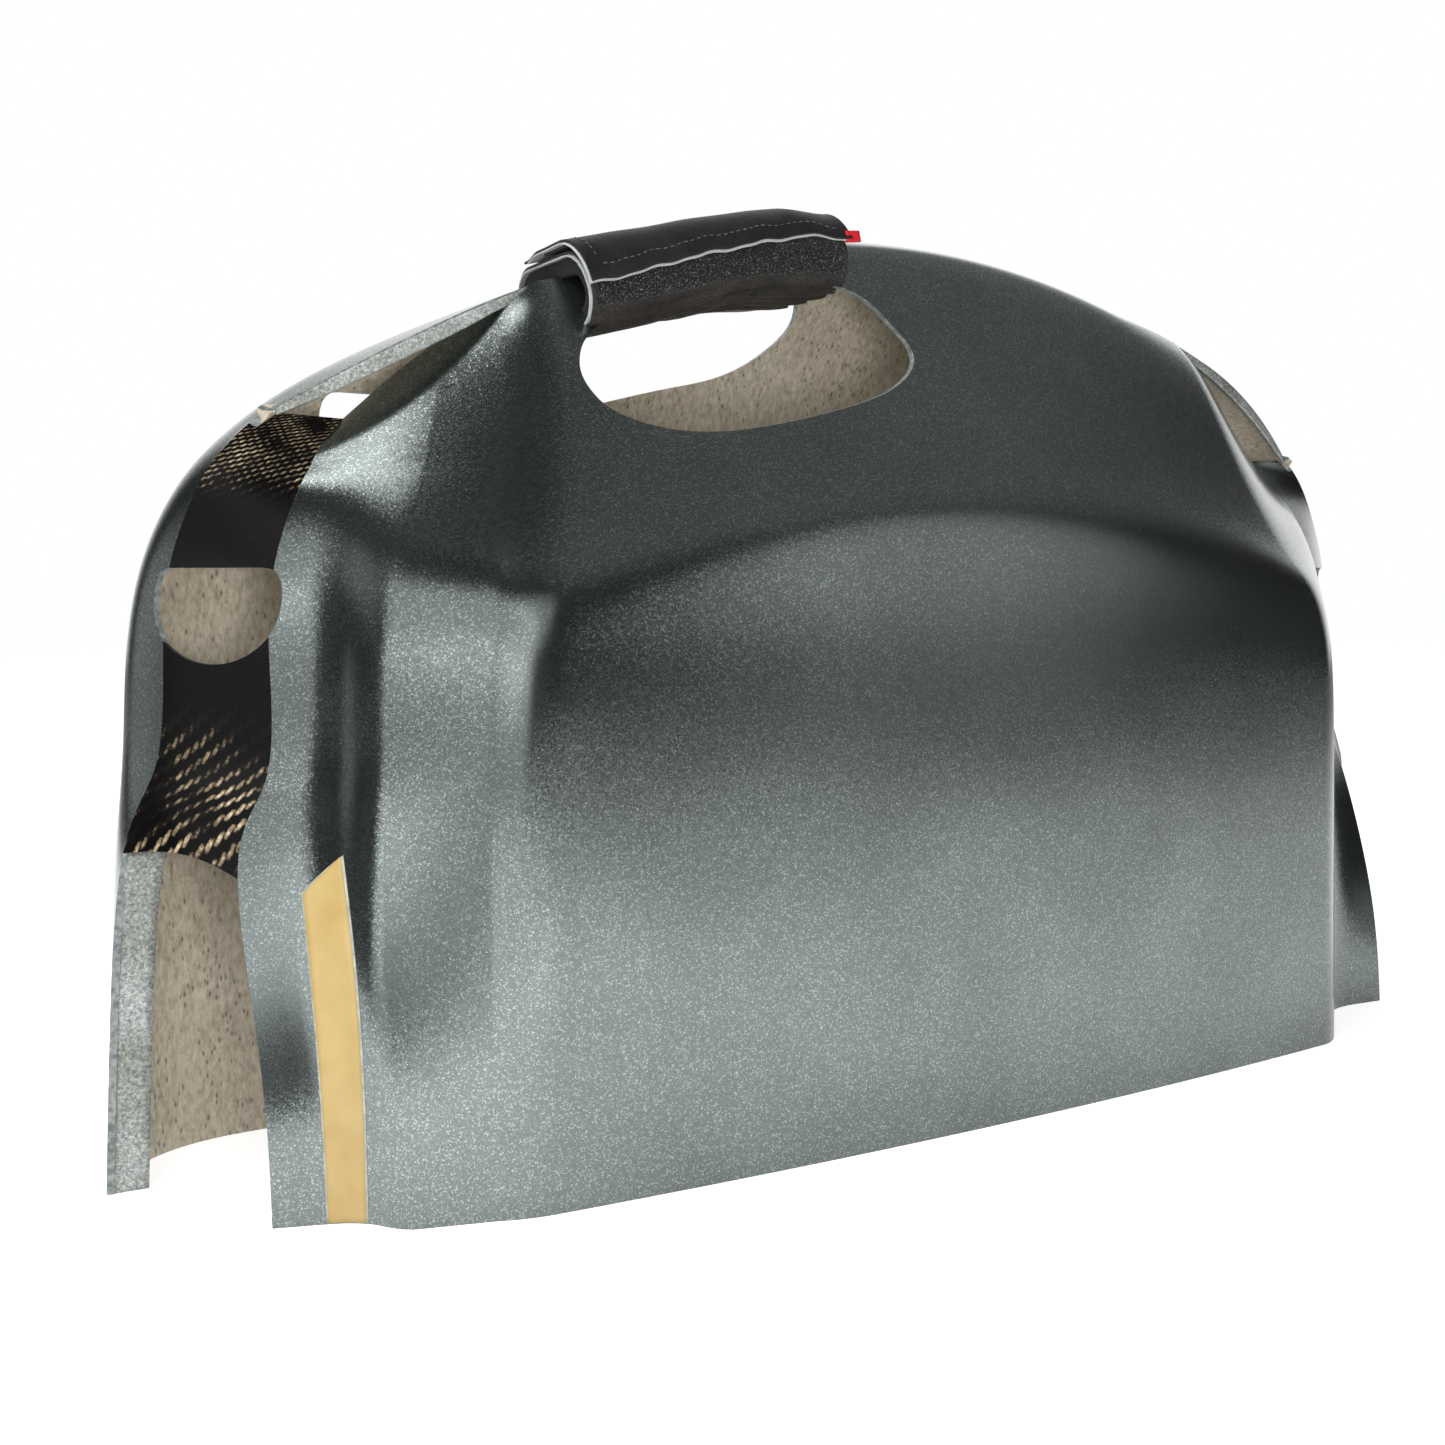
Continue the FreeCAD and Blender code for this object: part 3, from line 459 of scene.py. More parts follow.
# the hook tape's grey points are painted glints of its hooks on the black nylon
HOOK = pile("black_hook_tape", "#020202", "#8f8f92", 0.6)
LOOP = pile("black_loop_tape", "#080808", "#303030", 0.3)
THREAD = plain("waxed_thread", "#3a3a38", "#6b6a66", 0.6, 1.111)
RIBBON = plain("red_woven_ribbon", "#a80f1e", "#cf1f2c", 0.55, 1.429)
GOLD = plain("gold_film", "#a98f58", "#b59d68", 0.42, 16.67)
FILM_EDGE = plain("pale_film_edge", "#8d8f84", "#b5b6a8", 0.4, 3.333)
FOAM = plain("dark_foam", "#1b1b1b", "#2a2a2a", 0.95, 1.667)
print("materials", len(bpy.data.materials))

# %% [markdown]
# The shell's form is drawn as a boat builder draws a hull: rails run from the bottom rim to the
# ridge, each given at the same eleven stations, and every cross row is drawn from rail to rail. The
# rails are in millimetres and repeat the frame's own lines, for the left half.

# %% Rails of the left half
RIDGE_Y, RIDGE_Z = 13.0, 352.0
FACE = [
    (0, -72, 0), (0, -71, 60), (0, -70, 120), (0, -68.5, 170), (0, -66.5, 208), (0, -61.5, 236),
    (0, -50, 257), (0, -30, 292), (0, -13, 325), (0, -1, 344), (0, RIDGE_Y, RIDGE_Z)]
CORNER = [
    (-201, -64, 0), (-199.5, -63, 55), (-198, -62, 112), (-197, -61, 152), (-194, -59.5, 184),
    (-189, -54, 207), (-183, -43, 224), (-175, -27, 256), (-170, -14, 285), (-168.5, -2, 306),
    (-168, 8, 317.6)]
VALLEY = [
    (-240, -47, 0), (-241, -33, 55), (-242, -22, 110), (-243, -17, 145), (-242, -14, 180),
    (-240, -12, 212), (-236, -5, 234), (-228, 4, 251), (-219, 12, 267), (-211, 18, 281),
    (-204, 22, 292)]
RIGHT_VALLEY = [(-238, -24, 0), (-240, -20, 55), (-242, -16, 110), (-243, -14, 145)] + VALLEY[4:]
FRONT_EDGE = [
    (-276, -28, 0), (-276.5, -20, 55), (-277, 0, 115), (-266.5, 4, 142), (-263, 4.5, 172),
    (-261.7, 6.8, 208), (-252.2, 10.8, 238), (-245, 15.5, 250), (-239.8, 20, 258), (-234, 24, 264),
    (-229, 27, 269)]
REAR_EDGE = [
    (-318, 30, 0), (-315, 30, 55), (-308.5, 29, 119), (-297, 27.2, 149), (-293.5, 27, 185),
    (-290.5, 27, 216), (-282, 27, 240), (-276, 26.5, 251), (-269.5, 25.5, 259), (-263, 25, 265.5),
    (-257, 24.5, 270)]
BEND = [
    (-306, 72, 0), (-307, 72, 60), (-313, 71, 120), (-318, 69, 160), (-316, 67, 195),
    (-307, 64, 224), (-293, 60, 247), (-274, 53, 266), (-253, 42, 281), (-231, 28, 291),
    (-212, 5.1, 297.2)]
BACK = [
    (0, 72, 0), (0, 72, 60), (0, 72, 120), (0, 71.5, 165), (0, 70, 205), (0, 67, 240),
    (0, 62, 275), (0, 53, 305), (0, 40, 329), (0, 27, 345), (0, RIDGE_Y, RIDGE_Z)]
TOP = len(FACE) - 1


def rail(points):
    # a smooth curve through the points, read by its station number
    knots = np.array(points, float) * MM
    count = len(knots)
    system = np.eye(count)
    pull = np.zeros_like(knots)
    for i in range(1, count - 1):
        system[i, i - 1:i + 2] = 1.0, 4.0, 1.0
        pull[i] = 6.0 * (knots[i + 1] - 2.0 * knots[i] + knots[i - 1])
    bend = np.linalg.solve(system, pull)

    def at(station):
        i = min(max(int(station), 0), count - 2)
        b = station - i
        a = 1.0 - b
        place = a * knots[i] + b * knots[i + 1]
        place = place + ((a ** 3 - a) * bend[i] + (b ** 3 - b) * bend[i + 1]) / 6.0
        return Vector(place)
    return at


face, corner, valley, front_edge = rail(FACE), rail(CORNER), rail(VALLEY), rail(FRONT_EDGE)
right_valley, rear_edge, bend_line, back = rail(RIGHT_VALLEY), rail(REAR_EDGE), rail(BEND), rail(BACK)

# %% [markdown]
# A cross row is a few simple curves end to end: a crowned run over the middle, a rounded corner
# aimed at the corner rail, a flat flank, a hollow and a straight run to the edge. On the right the
# hollow is one soft curve. On the left the shell steps inwards between a flat flank and a flat
# flare, and the step mirrors the dark room as a long black line. Every row has the same number of
# points, so the rows make a clean grid.

# %% Cross rows
MIDDLE_STEPS = 26          # points from the middle to the corner, shared by the front and the back
CORNER_REACH, BEND_REACH, SHARED_SHARE = 0.055, 0.15, 0.881
FLANK_START = 0.24                                         # on the left, as shares of the flank
RIGHT_START, RIGHT_END, RIGHT_HOLLOW = 0.42, 0.45, 0.55    # the right side's soft curves
STEP_OUT, STEP_IN = 3.8 * MM, 2.4 * MM                     # the step's depth on either side of its line
STEP_HALF, STEP_SOFT, FLARE_SOFT, FLANK_SOFT = 0.085, 0.25, 0.4, 0.12
STEP_TOP, STEP_FADE = 250 * MM, 60 * MM                    # above, the step fades into a soft hollow
STEP_LOW, LOW_FADE = 150 * MM, 70 * MM                     # below, it is deeper and nearer to the edge
LOWER_DEPTH, LOWER_SHIFT = 0.4, 0.06


def on_crown(middle, control, full, x):
    # a crowned run from the middle line to x = full, level at the middle and aimed at the control
    fall = x * x / (full * (2.0 * control.x - full))
    return Vector((x, middle.y + (control.y - middle.y) * fall,
                   middle.z + (control.z - middle.z) * fall))


def quadratic(start, control, end, t):
    return start * (1 - t) ** 2 + control * (2 * t * (1 - t)) + end * t ** 2


def rounded(start, control, end, count):
    for i in range(1, count + 1):
        yield quadratic(start, control, end, i / count)


def straight(start, end, count):
    for i in range(1, count + 1):
        yield start.lerp(end, i / count)


def clamped(share):
    return min(1.0, max(0.0, share))


def smoothstep(low, high, value):
    share = clamped((value - low) / (high - low))
    return share * share * (3 - 2 * share)


def step_ends(c, v, e):
    # where the left side's step begins and ends, on either side of the line from corner to edge
    across = e - c
    out = Vector((across.y, -across.x, 0)).normalized() * math.copysign(1, across.x)
    fade = clamped((STEP_TOP - v.z) / STEP_FADE)
    low = clamped((STEP_LOW - v.z) / LOW_FADE)
    share = (v - c).dot(across) / across.length_squared + LOWER_SHIFT * low
    deeper = 1 + LOWER_DEPTH * low
    before = c + across * (share - STEP_HALF) + out * STEP_OUT * deeper
    after = c + across * (share + STEP_HALF) - out * STEP_IN * deeper
    return v.lerp(c, STEP_SOFT).lerp(before, fade), v.lerp(e, STEP_SOFT).lerp(after, fade)


@functools.cache
def front_row(station, right):
    c, e = corner(station), front_edge(station)
    full = c.x * (1.0 - CORNER_REACH)
    row = [on_crown(face(station), c, full, full * i / MIDDLE_STEPS) for i in range(MIDDLE_STEPS + 1)]
    if right:
        v = right_valley(station)
        row += rounded(row[-1], c, c.lerp(v, RIGHT_START), 11)
        row += straight(row[-1], v.lerp(c, RIGHT_END), 3)
        row += rounded(row[-1], v, v.lerp(e, RIGHT_HOLLOW), 10)
        row += straight(row[-1], e, 5)
        return row
    v = valley(station)
    before, after = step_ends(c, v, e)
    row += rounded(row[-1], c, c.lerp(v, FLANK_START), 11)
    row += straight(row[-1], before.lerp(c, FLANK_SOFT), 1)
    row += rounded(row[-1], before, before.lerp(after, 0.5), 6)
    row += rounded(row[-1], after, after.lerp(e, FLARE_SOFT), 8)
    row += straight(row[-1], e, 3)
    return row


@functools.cache
def rear_row(station, right):
    # both sides are alike; the first columns share the front's steps, so that the tops can join
    k, e = bend_line(station), rear_edge(station)
    full = k.x * (1.0 - BEND_REACH)
    shared = full * SHARED_SHARE
    steps = [shared * i / MIDDLE_STEPS for i in range(MIDDLE_STEPS + 1)]
    steps += [shared + (full - shared) * i / 4 for i in range(1, 5)]
    row = [on_crown(back(station), k, full, x) for x in steps]
    row += rounded(row[-1], k, e, 25)
    return row


HALF = len(rear_row(0.0, False)) - 1
print("points in half a row", HALF, len(front_row(0.0, False)) - 1)

# %% [markdown]
# The two half shells were bonded, filled and painted as one, so the ridge between them is a soft
# round edge. Here each column of the front and its partner on the back run up to the ridge and over
# it on one quadratic curve. Beyond the shared columns the front's and the back's top edges part,
# and the gap between them is the shoulder slot.

# %% Painted skin
BODY_ROWS, RIDGE_ROWS, RIDGE_REACH, TIP_REACH = 84, 7, 0.85, 0.12
FADE_FROM = 19             # the ridge's roundness fades from this column to the slot's tip


def ridge_reach(column):
    return RIDGE_REACH + (TIP_REACH - RIDGE_REACH) * smoothstep(FADE_FROM, MIDDLE_STEPS, abs(column))


def mirrored(point):
    return Vector((-point.x, point.y, point.z))


def row_point(row_of, station, column):
    # column 0 is the middle; negative columns lie on the left, positive ones on the right
    point = row_of(station, column > 0)[abs(column)]
    return mirrored(point) if column > 0 else point


def skin_point(row_of, partner, row, column):
    reach = ridge_reach(column)
    if row <= BODY_ROWS:
        return row_point(row_of, (TOP - reach) * row / BODY_ROWS, column)
    share = (row - BODY_ROWS) / RIDGE_ROWS
    if abs(column) > MIDDLE_STEPS:
        return row_point(row_of, TOP - reach * (1 - share), column)
    start = row_point(row_of, TOP - reach, column)
    end = row_point(partner, TOP - reach, column)
    return quadratic(start, row_point(front_row, TOP, column), end, share / 2)


def grid_sheet(columns, rows, place, uv_place=None):
    # a grid whose points are moved to place(column, row); returns an open bmesh
    sheet = bmesh.new()
    bmesh.ops.create_grid(sheet, x_segments=columns, y_segments=rows, size=1.0)
    uv_layer = sheet.loops.layers.uv.new("UVMap") if uv_place else None
    index = {}
    for vert in sheet.verts:
        column = round((vert.co.x + 1) / 2 * columns)
        row = round((vert.co.y + 1) / 2 * rows)
        index[vert] = (column, row)
        vert.co = place(column, row)
    if uv_layer:
        for one in sheet.faces:
            for loop in one.loops:
                loop[uv_layer].uv = uv_place(*index[loop.vert])
    return sheet


def side_sheet(row_of, partner):
    rows = BODY_ROWS + RIDGE_ROWS
    return grid_sheet(2 * HALF, rows,
                      lambda column, row: skin_point(row_of, partner, row, column - HALF))


def shade(data):
    data.polygons.foreach_set("use_smooth", [True] * len(data.polygons))
    data.set_sharp_from_angle(angle=math.radians(35))


def make_piece(name, sheet, materials, body="shell"):
    # turns a bmesh into a smooth shaded piece that rides on a body
    data = bpy.data.meshes.new(name)
    sheet.to_mesh(data)
    sheet.free()
    for material in materials:
        data.materials.append(material)
    shade(data)
    piece = linked(name, data)
    if body:
        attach(piece, body)
    return piece


def thicken(piece, thickness, offset=-1.0):
    # offset -1 grows the wall inwards from the drawn surface, 1 outwards
    wall = piece.modifiers.new("wall", "SOLIDIFY")
    wall.thickness = thickness
    wall.offset = offset
    return wall


def face_out(sheet, towards):
    # turns every face of an open sheet so that the faces look along a direction on average
    total = Vector()
    for one in sheet.faces:
        one.normal_update()
        total += one.normal * one.calc_area()
    if total.dot(Vector(towards)) < 0:
        bmesh.ops.reverse_faces(sheet, faces=sheet.faces)


front_sheet = side_sheet(front_row, rear_row)
face_out(front_sheet, (0, -1, 0.3))
rear_sheet = side_sheet(rear_row, front_row)
face_out(rear_sheet, (0, 1, 0.3))
rear_copy = bpy.data.meshes.new("rear_copy")
rear_sheet.to_mesh(rear_copy)
rear_sheet.free()
front_sheet.from_mesh(rear_copy)
bpy.data.meshes.remove(rear_copy)
bmesh.ops.remove_doubles(front_sheet, verts=front_sheet.verts, dist=0.02 * MM)
print("skin", len(front_sheet.verts), "points")

# %% [markdown]
# The holes are sawn after moulding. Each is cut with a closed prism: the hand hole through the front
# and the back under the grip, a round hole with a flat top through each side band, and a window
# through the back behind each shoulder.

# %% Hole cutters
FRONT_HOLE = [
    (-155.5, 289), (-154, 279), (-145.5, 270.3), (-126, 264.8), (-98, 266), (-56, 275.5), (-30, 285),
    (-16.5, 297), (-21, 309.5), (-40, 325), (-90, 325), (-130, 311.5), (-149, 300)]
REAR_HOLE = [
    (-154, 292), (-148, 282), (-132, 279), (-89, 289), (-60, 296), (-42, 305), (-29, 318),
    (-31, 330), (-45, 333), (-90, 324), (-138, 309)]
HOLE_STEPS = 6
RIM_SLOT = 2               # the cut faces take the third material of the piece


def closed_curve(points, steps):
    # points on a smooth closed curve through the given ones
    count = len(points)
    curve = []
    for i in range(count):
        p = [Vector(points[(i + k) % count]) for k in (-1, 0, 1, 2)]
        for step in range(steps):
            t = step / steps
            curve.append(0.5 * ((2 * p[1]) + (p[2] - p[0]) * t
                                + (2 * p[0] - 5 * p[1] + 4 * p[2] - p[3]) * t * t
                                + (3 * p[1] - p[0] - 3 * p[2] + p[3]) * t ** 3))
    return curve


def prism(outline, depth):
    # a closed prism from an outline in its own XY plane, from z=0 to z=depth
    block = bmesh.new()
    base = block.faces.new([block.verts.new((p.x, p.y, 0.0)) for p in outline])
    sides = bmesh.ops.extrude_face_region(block, geom=[base])
    top = [item for item in sides["geom"] if isinstance(item, bmesh.types.BMVert)]
    bmesh.ops.translate(block, verts=top, vec=(0, 0, depth))
    bmesh.ops.recalc_face_normals(block, faces=block.faces)
    return block


def cutter(name, block, placement):
    data = bpy.data.meshes.new(name)
    bmesh.ops.transform(block, matrix=placement, verts=block.verts)
    for one in block.faces:
        one.material_index = RIM_SLOT
    block.to_mesh(data)
    block.free()
    return linked(name, data)


TO_BACK = Matrix.Rotation(math.radians(90), 4, "X")       # a prism's depth turns to -Y
front_outline = closed_curve([Vector((x, z)) * MM for x, z in FRONT_HOLE], HOLE_STEPS)
rear_outline = closed_curve([Vector((x, z)) * MM for x, z in REAR_HOLE], HOLE_STEPS)
SIDE_RADIUS, SIDE_FLAT, SIDE_HEIGHT, SIDE_CORNER = 22.3 * MM, 10.5 * MM, 205.5 * MM, 4.5 * MM
SIDE_MIDDLE, SIDE_FACING = Vector((-0.281, 0.015, SIDE_HEIGHT)), math.radians(53)
WINDOW_SIDE, WINDOW_LEVEL = 196 * MM, 264 * MM
WINDOW_SIZE, WINDOW_CORNER = (68 * MM, 34 * MM), 7 * MM


def corner_curve(before, point, after, reach):
    # the short curve that takes the place of a corner
    start = point + (before - point).normalized() * reach
    end = point + (after - point).normalized() * reach
    return [quadratic(start, point, end, t) for t in (0.0, 0.25, 0.5, 0.75, 1.0)]


def side_hole_outline():
    # a circle cut flat at the top, with the two corners rounded
    start = math.asin(SIDE_FLAT / SIDE_RADIUS)
    arc = [math.pi - start + (math.pi + 2 * start) * i / 40 for i in range(41)]
    points = [Vector((math.cos(a), math.sin(a))) * SIDE_RADIUS for a in arc]
    first, last = points[0], points[-1]
    kept = [p for p in points if min((p - first).length, (p - last).length) > SIDE_CORNER]
    return (corner_curve(last, first, points[3], SIDE_CORNER) + kept
            + corner_curve(points[-4], last, first, SIDE_CORNER))


def rounded_box_outline(size, reach):
    x, y = size[0] / 2, size[1] / 2
    box = [Vector(place) for place in ((-x, -y), (x, -y), (x, y), (-x, y))]
    return [spot for i in range(4) for spot in corner_curve(box[i - 1], box[i], box[i - 3], reach)]


RIDGE_GAP = 1.5 * MM       # the front cut stops just before the ridge
FRONT_DEPTH, REAR_DEPTH, SIDE_DEPTH, WINDOW_DEPTH = 75 * MM, 65 * MM, 50 * MM, 60 * MM
REAR_START, WINDOW_START = 80 * MM, 88 * MM                # behind the back, where these cuts begin
front_cut = cutter("front_cut", prism(front_outline, FRONT_DEPTH),
                   Matrix.Translation((0, RIDGE_Y * MM - RIDGE_GAP, 0)) @ TO_BACK)
rear_cut = cutter("rear_cut", prism(rear_outline, REAR_DEPTH),
                  Matrix.Translation((0, REAR_START, 0)) @ TO_BACK)
side_cuts, window_cuts = [], []
for side in (-1, 1):
    block = prism(side_hole_outline(), SIDE_DEPTH)
    bmesh.ops.translate(block, verts=block.verts, vec=(0, 0, -SIDE_DEPTH / 2))
    middle = Matrix.Translation((-side * SIDE_MIDDLE.x, SIDE_MIDDLE.y, SIDE_MIDDLE.z))
    turn = Matrix.Rotation(side * SIDE_FACING, 4, "Z")
    side_cuts.append(cutter("side_cut", block, middle @ turn @ TO_BACK))
    window = prism(rounded_box_outline(WINDOW_SIZE, WINDOW_CORNER), WINDOW_DEPTH)
    place = Matrix.Translation((side * WINDOW_SIDE, WINDOW_START, WINDOW_LEVEL)) @ TO_BACK
    window_cuts.append(cutter("window_cut", window, place))

# %% [markdown]
# The skin gets its wall with Solidify, whose inner faces take the raw mat and whose rim takes the
# cut edge. The prisms are then subtracted with Boolean. The modifiers' result is stored as the
# piece's own mesh, so the cutters can go.

# %% Painted shell
WALL = 2.6 * MM


def freeze(piece):
    # the modifiers' result becomes the piece's own mesh
    bpy.context.view_layer.update()
    graph = bpy.context.evaluated_depsgraph_get()
    result = bpy.data.meshes.new_from_object(piece.evaluated_get(graph))
    old = piece.data
    piece.modifiers.clear()
    piece.data = result
    result.name = old.name
    bpy.data.meshes.remove(old)


def wall_and_cut(piece, thickness, cuts, even=True):
    wall = thicken(piece, thickness)
    wall.use_even_offset = even
    wall.material_offset = 1
    wall.material_offset_rim = RIM_SLOT
    for number, cut_object in enumerate(cuts):
        cut = piece.modifiers.new("cut_%d" % number, "BOOLEAN")
        cut.object = cut_object
        cut.operation = "DIFFERENCE"
        cut.solver = "EXACT"
    freeze(piece)
    shade(piece.data)


painted_shell = make_piece("painted_shell", front_sheet, [PAINT, RAW, PAINTED_EDGE_WITH_HIGHLIGHT])
wall_and_cut(painted_shell, WALL, [front_cut, rear_cut] + side_cuts + window_cuts, even=False)
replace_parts(painted_shell, "front_shell", "rear_shell", "front_core_mat", "rear_core_mat")
print("painted shell", len(painted_shell.data.polygons), "faces")

# %% [markdown]
# Each side band bridges the gap between the half shells, from the arch at the bottom to the slot at
# the top. The left band was masked off and left as bare carbon under clear coat, the right one is
# painted. Its UV map is in metres along and across, so that the weave keeps its size.

# %% Side bands
HOOD_STATION, BAND_STEPS, BAND_ROWS = 2.0, 14, 60
BAND_WALL, BAND_SWELL, HOOD_BOW, HOOD_BEAK = 1.5 * MM, 1.5 * MM, 3.0 * MM, 3.5 * MM
BAND_OUT = Vector((-0.80, -0.60, 0))                       # the way the left band swells
BAND_LENGTH, BAND_WIDTH = 0.165, 0.034                     # what its UV map spans, in metres
# where the left band's painted highlight lies, by height, and its least level
HOOD_HIGHLIGHT_TO, SLOT_HIGHLIGHT_FROM = 158 * MM, 242.5 * MM
HOOD_FADE, SLOT_FADE, LEAST_HIGHLIGHT = 24 * MM, 8 * MM, 0.07


def band_point(share, across):
    # left side: share runs from the arch up to the slot, across from the front edge to the rear
    station = HOOD_STATION + (TOP - HOOD_STATION) * share
    start, end = front_edge(station), rear_edge(station)
    out = BAND_OUT * (BAND_SWELL - MM * share)
    point = quadratic(start, (start + end) / 2 + out, end, across)
    low = max(0.0, 1.0 - share * 12)
    point.z += low * (HOOD_BOW * math.sin(math.pi * across) - HOOD_BEAK * (1 - across) ** 4)
    return point


def band_sheet(side):
    def place(column, row):
        point = band_point(row / BAND_ROWS, column / BAND_STEPS)
        return point if side < 0 else mirrored(point)

    def on_map(column, row):
        return column / BAND_STEPS * BAND_WIDTH, row / BAND_ROWS * BAND_LENGTH

    sheet = grid_sheet(BAND_STEPS, BAND_ROWS, place, on_map)
    face_out(sheet, (side, -0.7, 0))
    return sheet


def painted_highlight_attribute(piece):
    # a painted highlight by height: the weave's brown is kept on the arch's hood and the stretch under
    # the slot, and mostly taken out between
    values = []
    for vert in piece.data.vertices:
        hood = 1.0 - clamped((vert.co.z - HOOD_HIGHLIGHT_TO) / HOOD_FADE + 0.5)
        top = clamped((vert.co.z - SLOT_HIGHLIGHT_FROM) / SLOT_FADE + 0.5)
        values.append(LEAST_HIGHLIGHT + (1 - LEAST_HIGHLIGHT) * max(hood, top))
    layer = piece.data.attributes.new("painted_highlight", "FLOAT", "POINT")
    layer.data.foreach_set("value", values)


left_band = make_piece("left_carbon_band", band_sheet(-1), [CARBON, RAW, DARK_EDGE])
wall_and_cut(left_band, BAND_WALL, [side_cuts[0]])
painted_highlight_attribute(left_band)
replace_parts(left_band, "left_upper_band", "left_arch_hood")
right_band = make_piece("right_painted_band", band_sheet(1), [PAINT, RAW, PAINTED_EDGE_WITH_HIGHLIGHT])
wall_and_cut(right_band, BAND_WALL, [side_cuts[1]])
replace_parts(right_band, "right_upper_band", "right_arch_hood")
for cut_object in [front_cut, rear_cut] + side_cuts + window_cuts:
    bpy.data.objects.remove(cut_object)
print("bands", len(left_band.data.polygons))

# %% [markdown]
# The rear shell's side edge is turned inwards as a narrow lip. It shows on the legs beside the
# arches and under the slots, where grey overspray has dried on it. The lip is a ribbon that starts
# on the edge rail and reaches inwards.

# %% Edge lips
LEG_LIP, SLOT_LIP, LIP_WALL = 12.5 * MM, 5.5 * MM, 1.2 * MM
LEG_GAP, SLOT_GAP, SLOT_FORWARD = 1.6 * MM, 0.6 * MM, 0.4 * MM       # clear of the shell's wall


def leg_lip(share, across):
    point = rear_edge(HOOD_STATION * share)
    return point + Vector((1.0, -0.06, 0.0)) * (LEG_LIP * across) + Vector((LEG_GAP, 0, 0))


def slot_lip(share, across):
    # along the rear shell's top edge, from the slot's tip towards the band
    column = MIDDLE_STEPS + 0.6 + (HALF - 1.4 - MIDDLE_STEPS) * share
    row = rear_row(TOP, False)
    low = int(min(column, HALF - 1))
    point = row[low].lerp(row[low + 1], column - low)
    width = SLOT_LIP * math.sin(math.pi * (0.04 + 0.92 * share)) ** 0.45
    reach = Vector((0.10, -0.12, -1.0)) * (width * across + SLOT_GAP)
    return point + reach - Vector((0, SLOT_FORWARD, 0))


def lip_piece(name, place, side, towards):
    steps, rows = 4, 40

    def spot(column, row):
        point = place(row / rows, column / steps)
        return point if side < 0 else mirrored(point)

    sheet = grid_sheet(steps, rows, spot)
    face_out(sheet, towards)
    piece = make_piece(name, sheet, [OVERSPRAY])
    thicken(piece, LIP_WALL)


for side, word in ((-1, "left"), (1, "right")):
    lip_piece(word + "_leg_lip", leg_lip, side, (0, -1, 0))
    lip_piece(word + "_slot_lip", slot_lip, side, (side * 0.2, -1, 0))

# %% [markdown]
# The stripe is a plain film of satin gold laid in the left hollow of the front, with a slanted top
# and a pale cut edge. It is laid on by casting rays at the painted shell, so that it follows it.

# %% Gold stripe
STRIPE_LEFT, STRIPE_RIGHT, STRIPE_TOP, STRIPE_SLANT = -259 * MM, -248 * MM, 120 * MM, 13 * MM
FILM_COLUMNS, FILM_ROWS, FILM_BOTTOM, FILM_THICKNESS = 8, 60, 0.4 * MM, 0.12 * MM
BORDER_WIDTH, BORDER_LIFT, STRIPE_LIFT = 0.5 * MM, 0.02 * MM, 0.18 * MM
shell_tree = BVHTree.FromObject(painted_shell, bpy.context.evaluated_depsgraph_get())


def film(name, margin, lift, material):
    left, right = STRIPE_LEFT - margin, STRIPE_RIGHT + margin

    def place(column, row):
        x = left + (right - left) * column / FILM_COLUMNS
        top = STRIPE_TOP + margin - STRIPE_SLANT * (right - x) / (right - left)
        z = FILM_BOTTOM + (top - FILM_BOTTOM) * row / FILM_ROWS
        point, normal = shell_tree.ray_cast(Vector((x, -0.2, z)), Vector((0, 1, 0)))[:2]
        return point + normal * lift

    sheet = grid_sheet(FILM_COLUMNS, FILM_ROWS, place)
    face_out(sheet, (0, -1, 0))
    piece = make_piece(name, sheet, [material])
    thicken(piece, FILM_THICKNESS, 1.0)
    return piece


border = film("stripe_edge_film", BORDER_WIDTH, BORDER_LIFT, FILM_EDGE)
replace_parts(border, "stripe_border")
stripe = film("gold_stripe_film", 0.0, STRIPE_LIFT, GOLD)
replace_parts(stripe, "stripe_decal")

# %% [markdown]
# The grip is a stadium-shaped bar of foam round the strip of shell over the hand hole, wrapped in a
# sleeve of leather and closed by a flap. Every layer is drawn on the same section: a distance along
# the section and a distance off the foam give a point, so that layers never cross.

# %% Grip section
GRIP_LEFT, GRIP_RIGHT = -152 * MM, -43 * MM
GRIP_RISE = math.radians(12.9)
HALF_DEPTH, HALF_HEIGHT = 30 * MM, 13.5 * MM
RIDGE_DROP, GRIP_CROWN, GRIP_DROP = 0.00122, 2.6, 11.2
GRIP_LENGTH = (GRIP_RIGHT - GRIP_LEFT) / math.cos(GRIP_RISE)
grip_x = (GRIP_LEFT + GRIP_RIGHT) / 2
grip_z = (RIDGE_Z - RIDGE_DROP * (grip_x / MM) ** 2 - GRIP_CROWN - GRIP_DROP) * MM
grip_frame = Matrix.Translation((grip_x, RIDGE_Y * MM, grip_z)) @ Matrix.Rotation(-GRIP_RISE, 4, "Y")
FLAT = HALF_DEPTH - HALF_HEIGHT
ARC = math.pi * HALF_HEIGHT
GIRTH = 4 * FLAT + 2 * ARC


def section(path, off):
    # path runs from the top middle forwards and round; off is the distance off the foam
    path = (path + FLAT) % GIRTH
    turn = 1 if path < GIRTH / 2 else -1       # the underside is the top turned half round
    path %= GIRTH / 2
    radius = HALF_HEIGHT + off
    if path < 2 * FLAT:
        return turn * (FLAT - path), turn * radius
    angle = (path - 2 * FLAT) / HALF_HEIGHT
    return -turn * (FLAT + radius * math.sin(angle)), turn * radius * math.cos(angle)


RIGHT_END_DROOP, UNDER_LIFT, MIDDLE_CROWN = 4.6 * MM, 3.4 * MM, 0.9 * MM


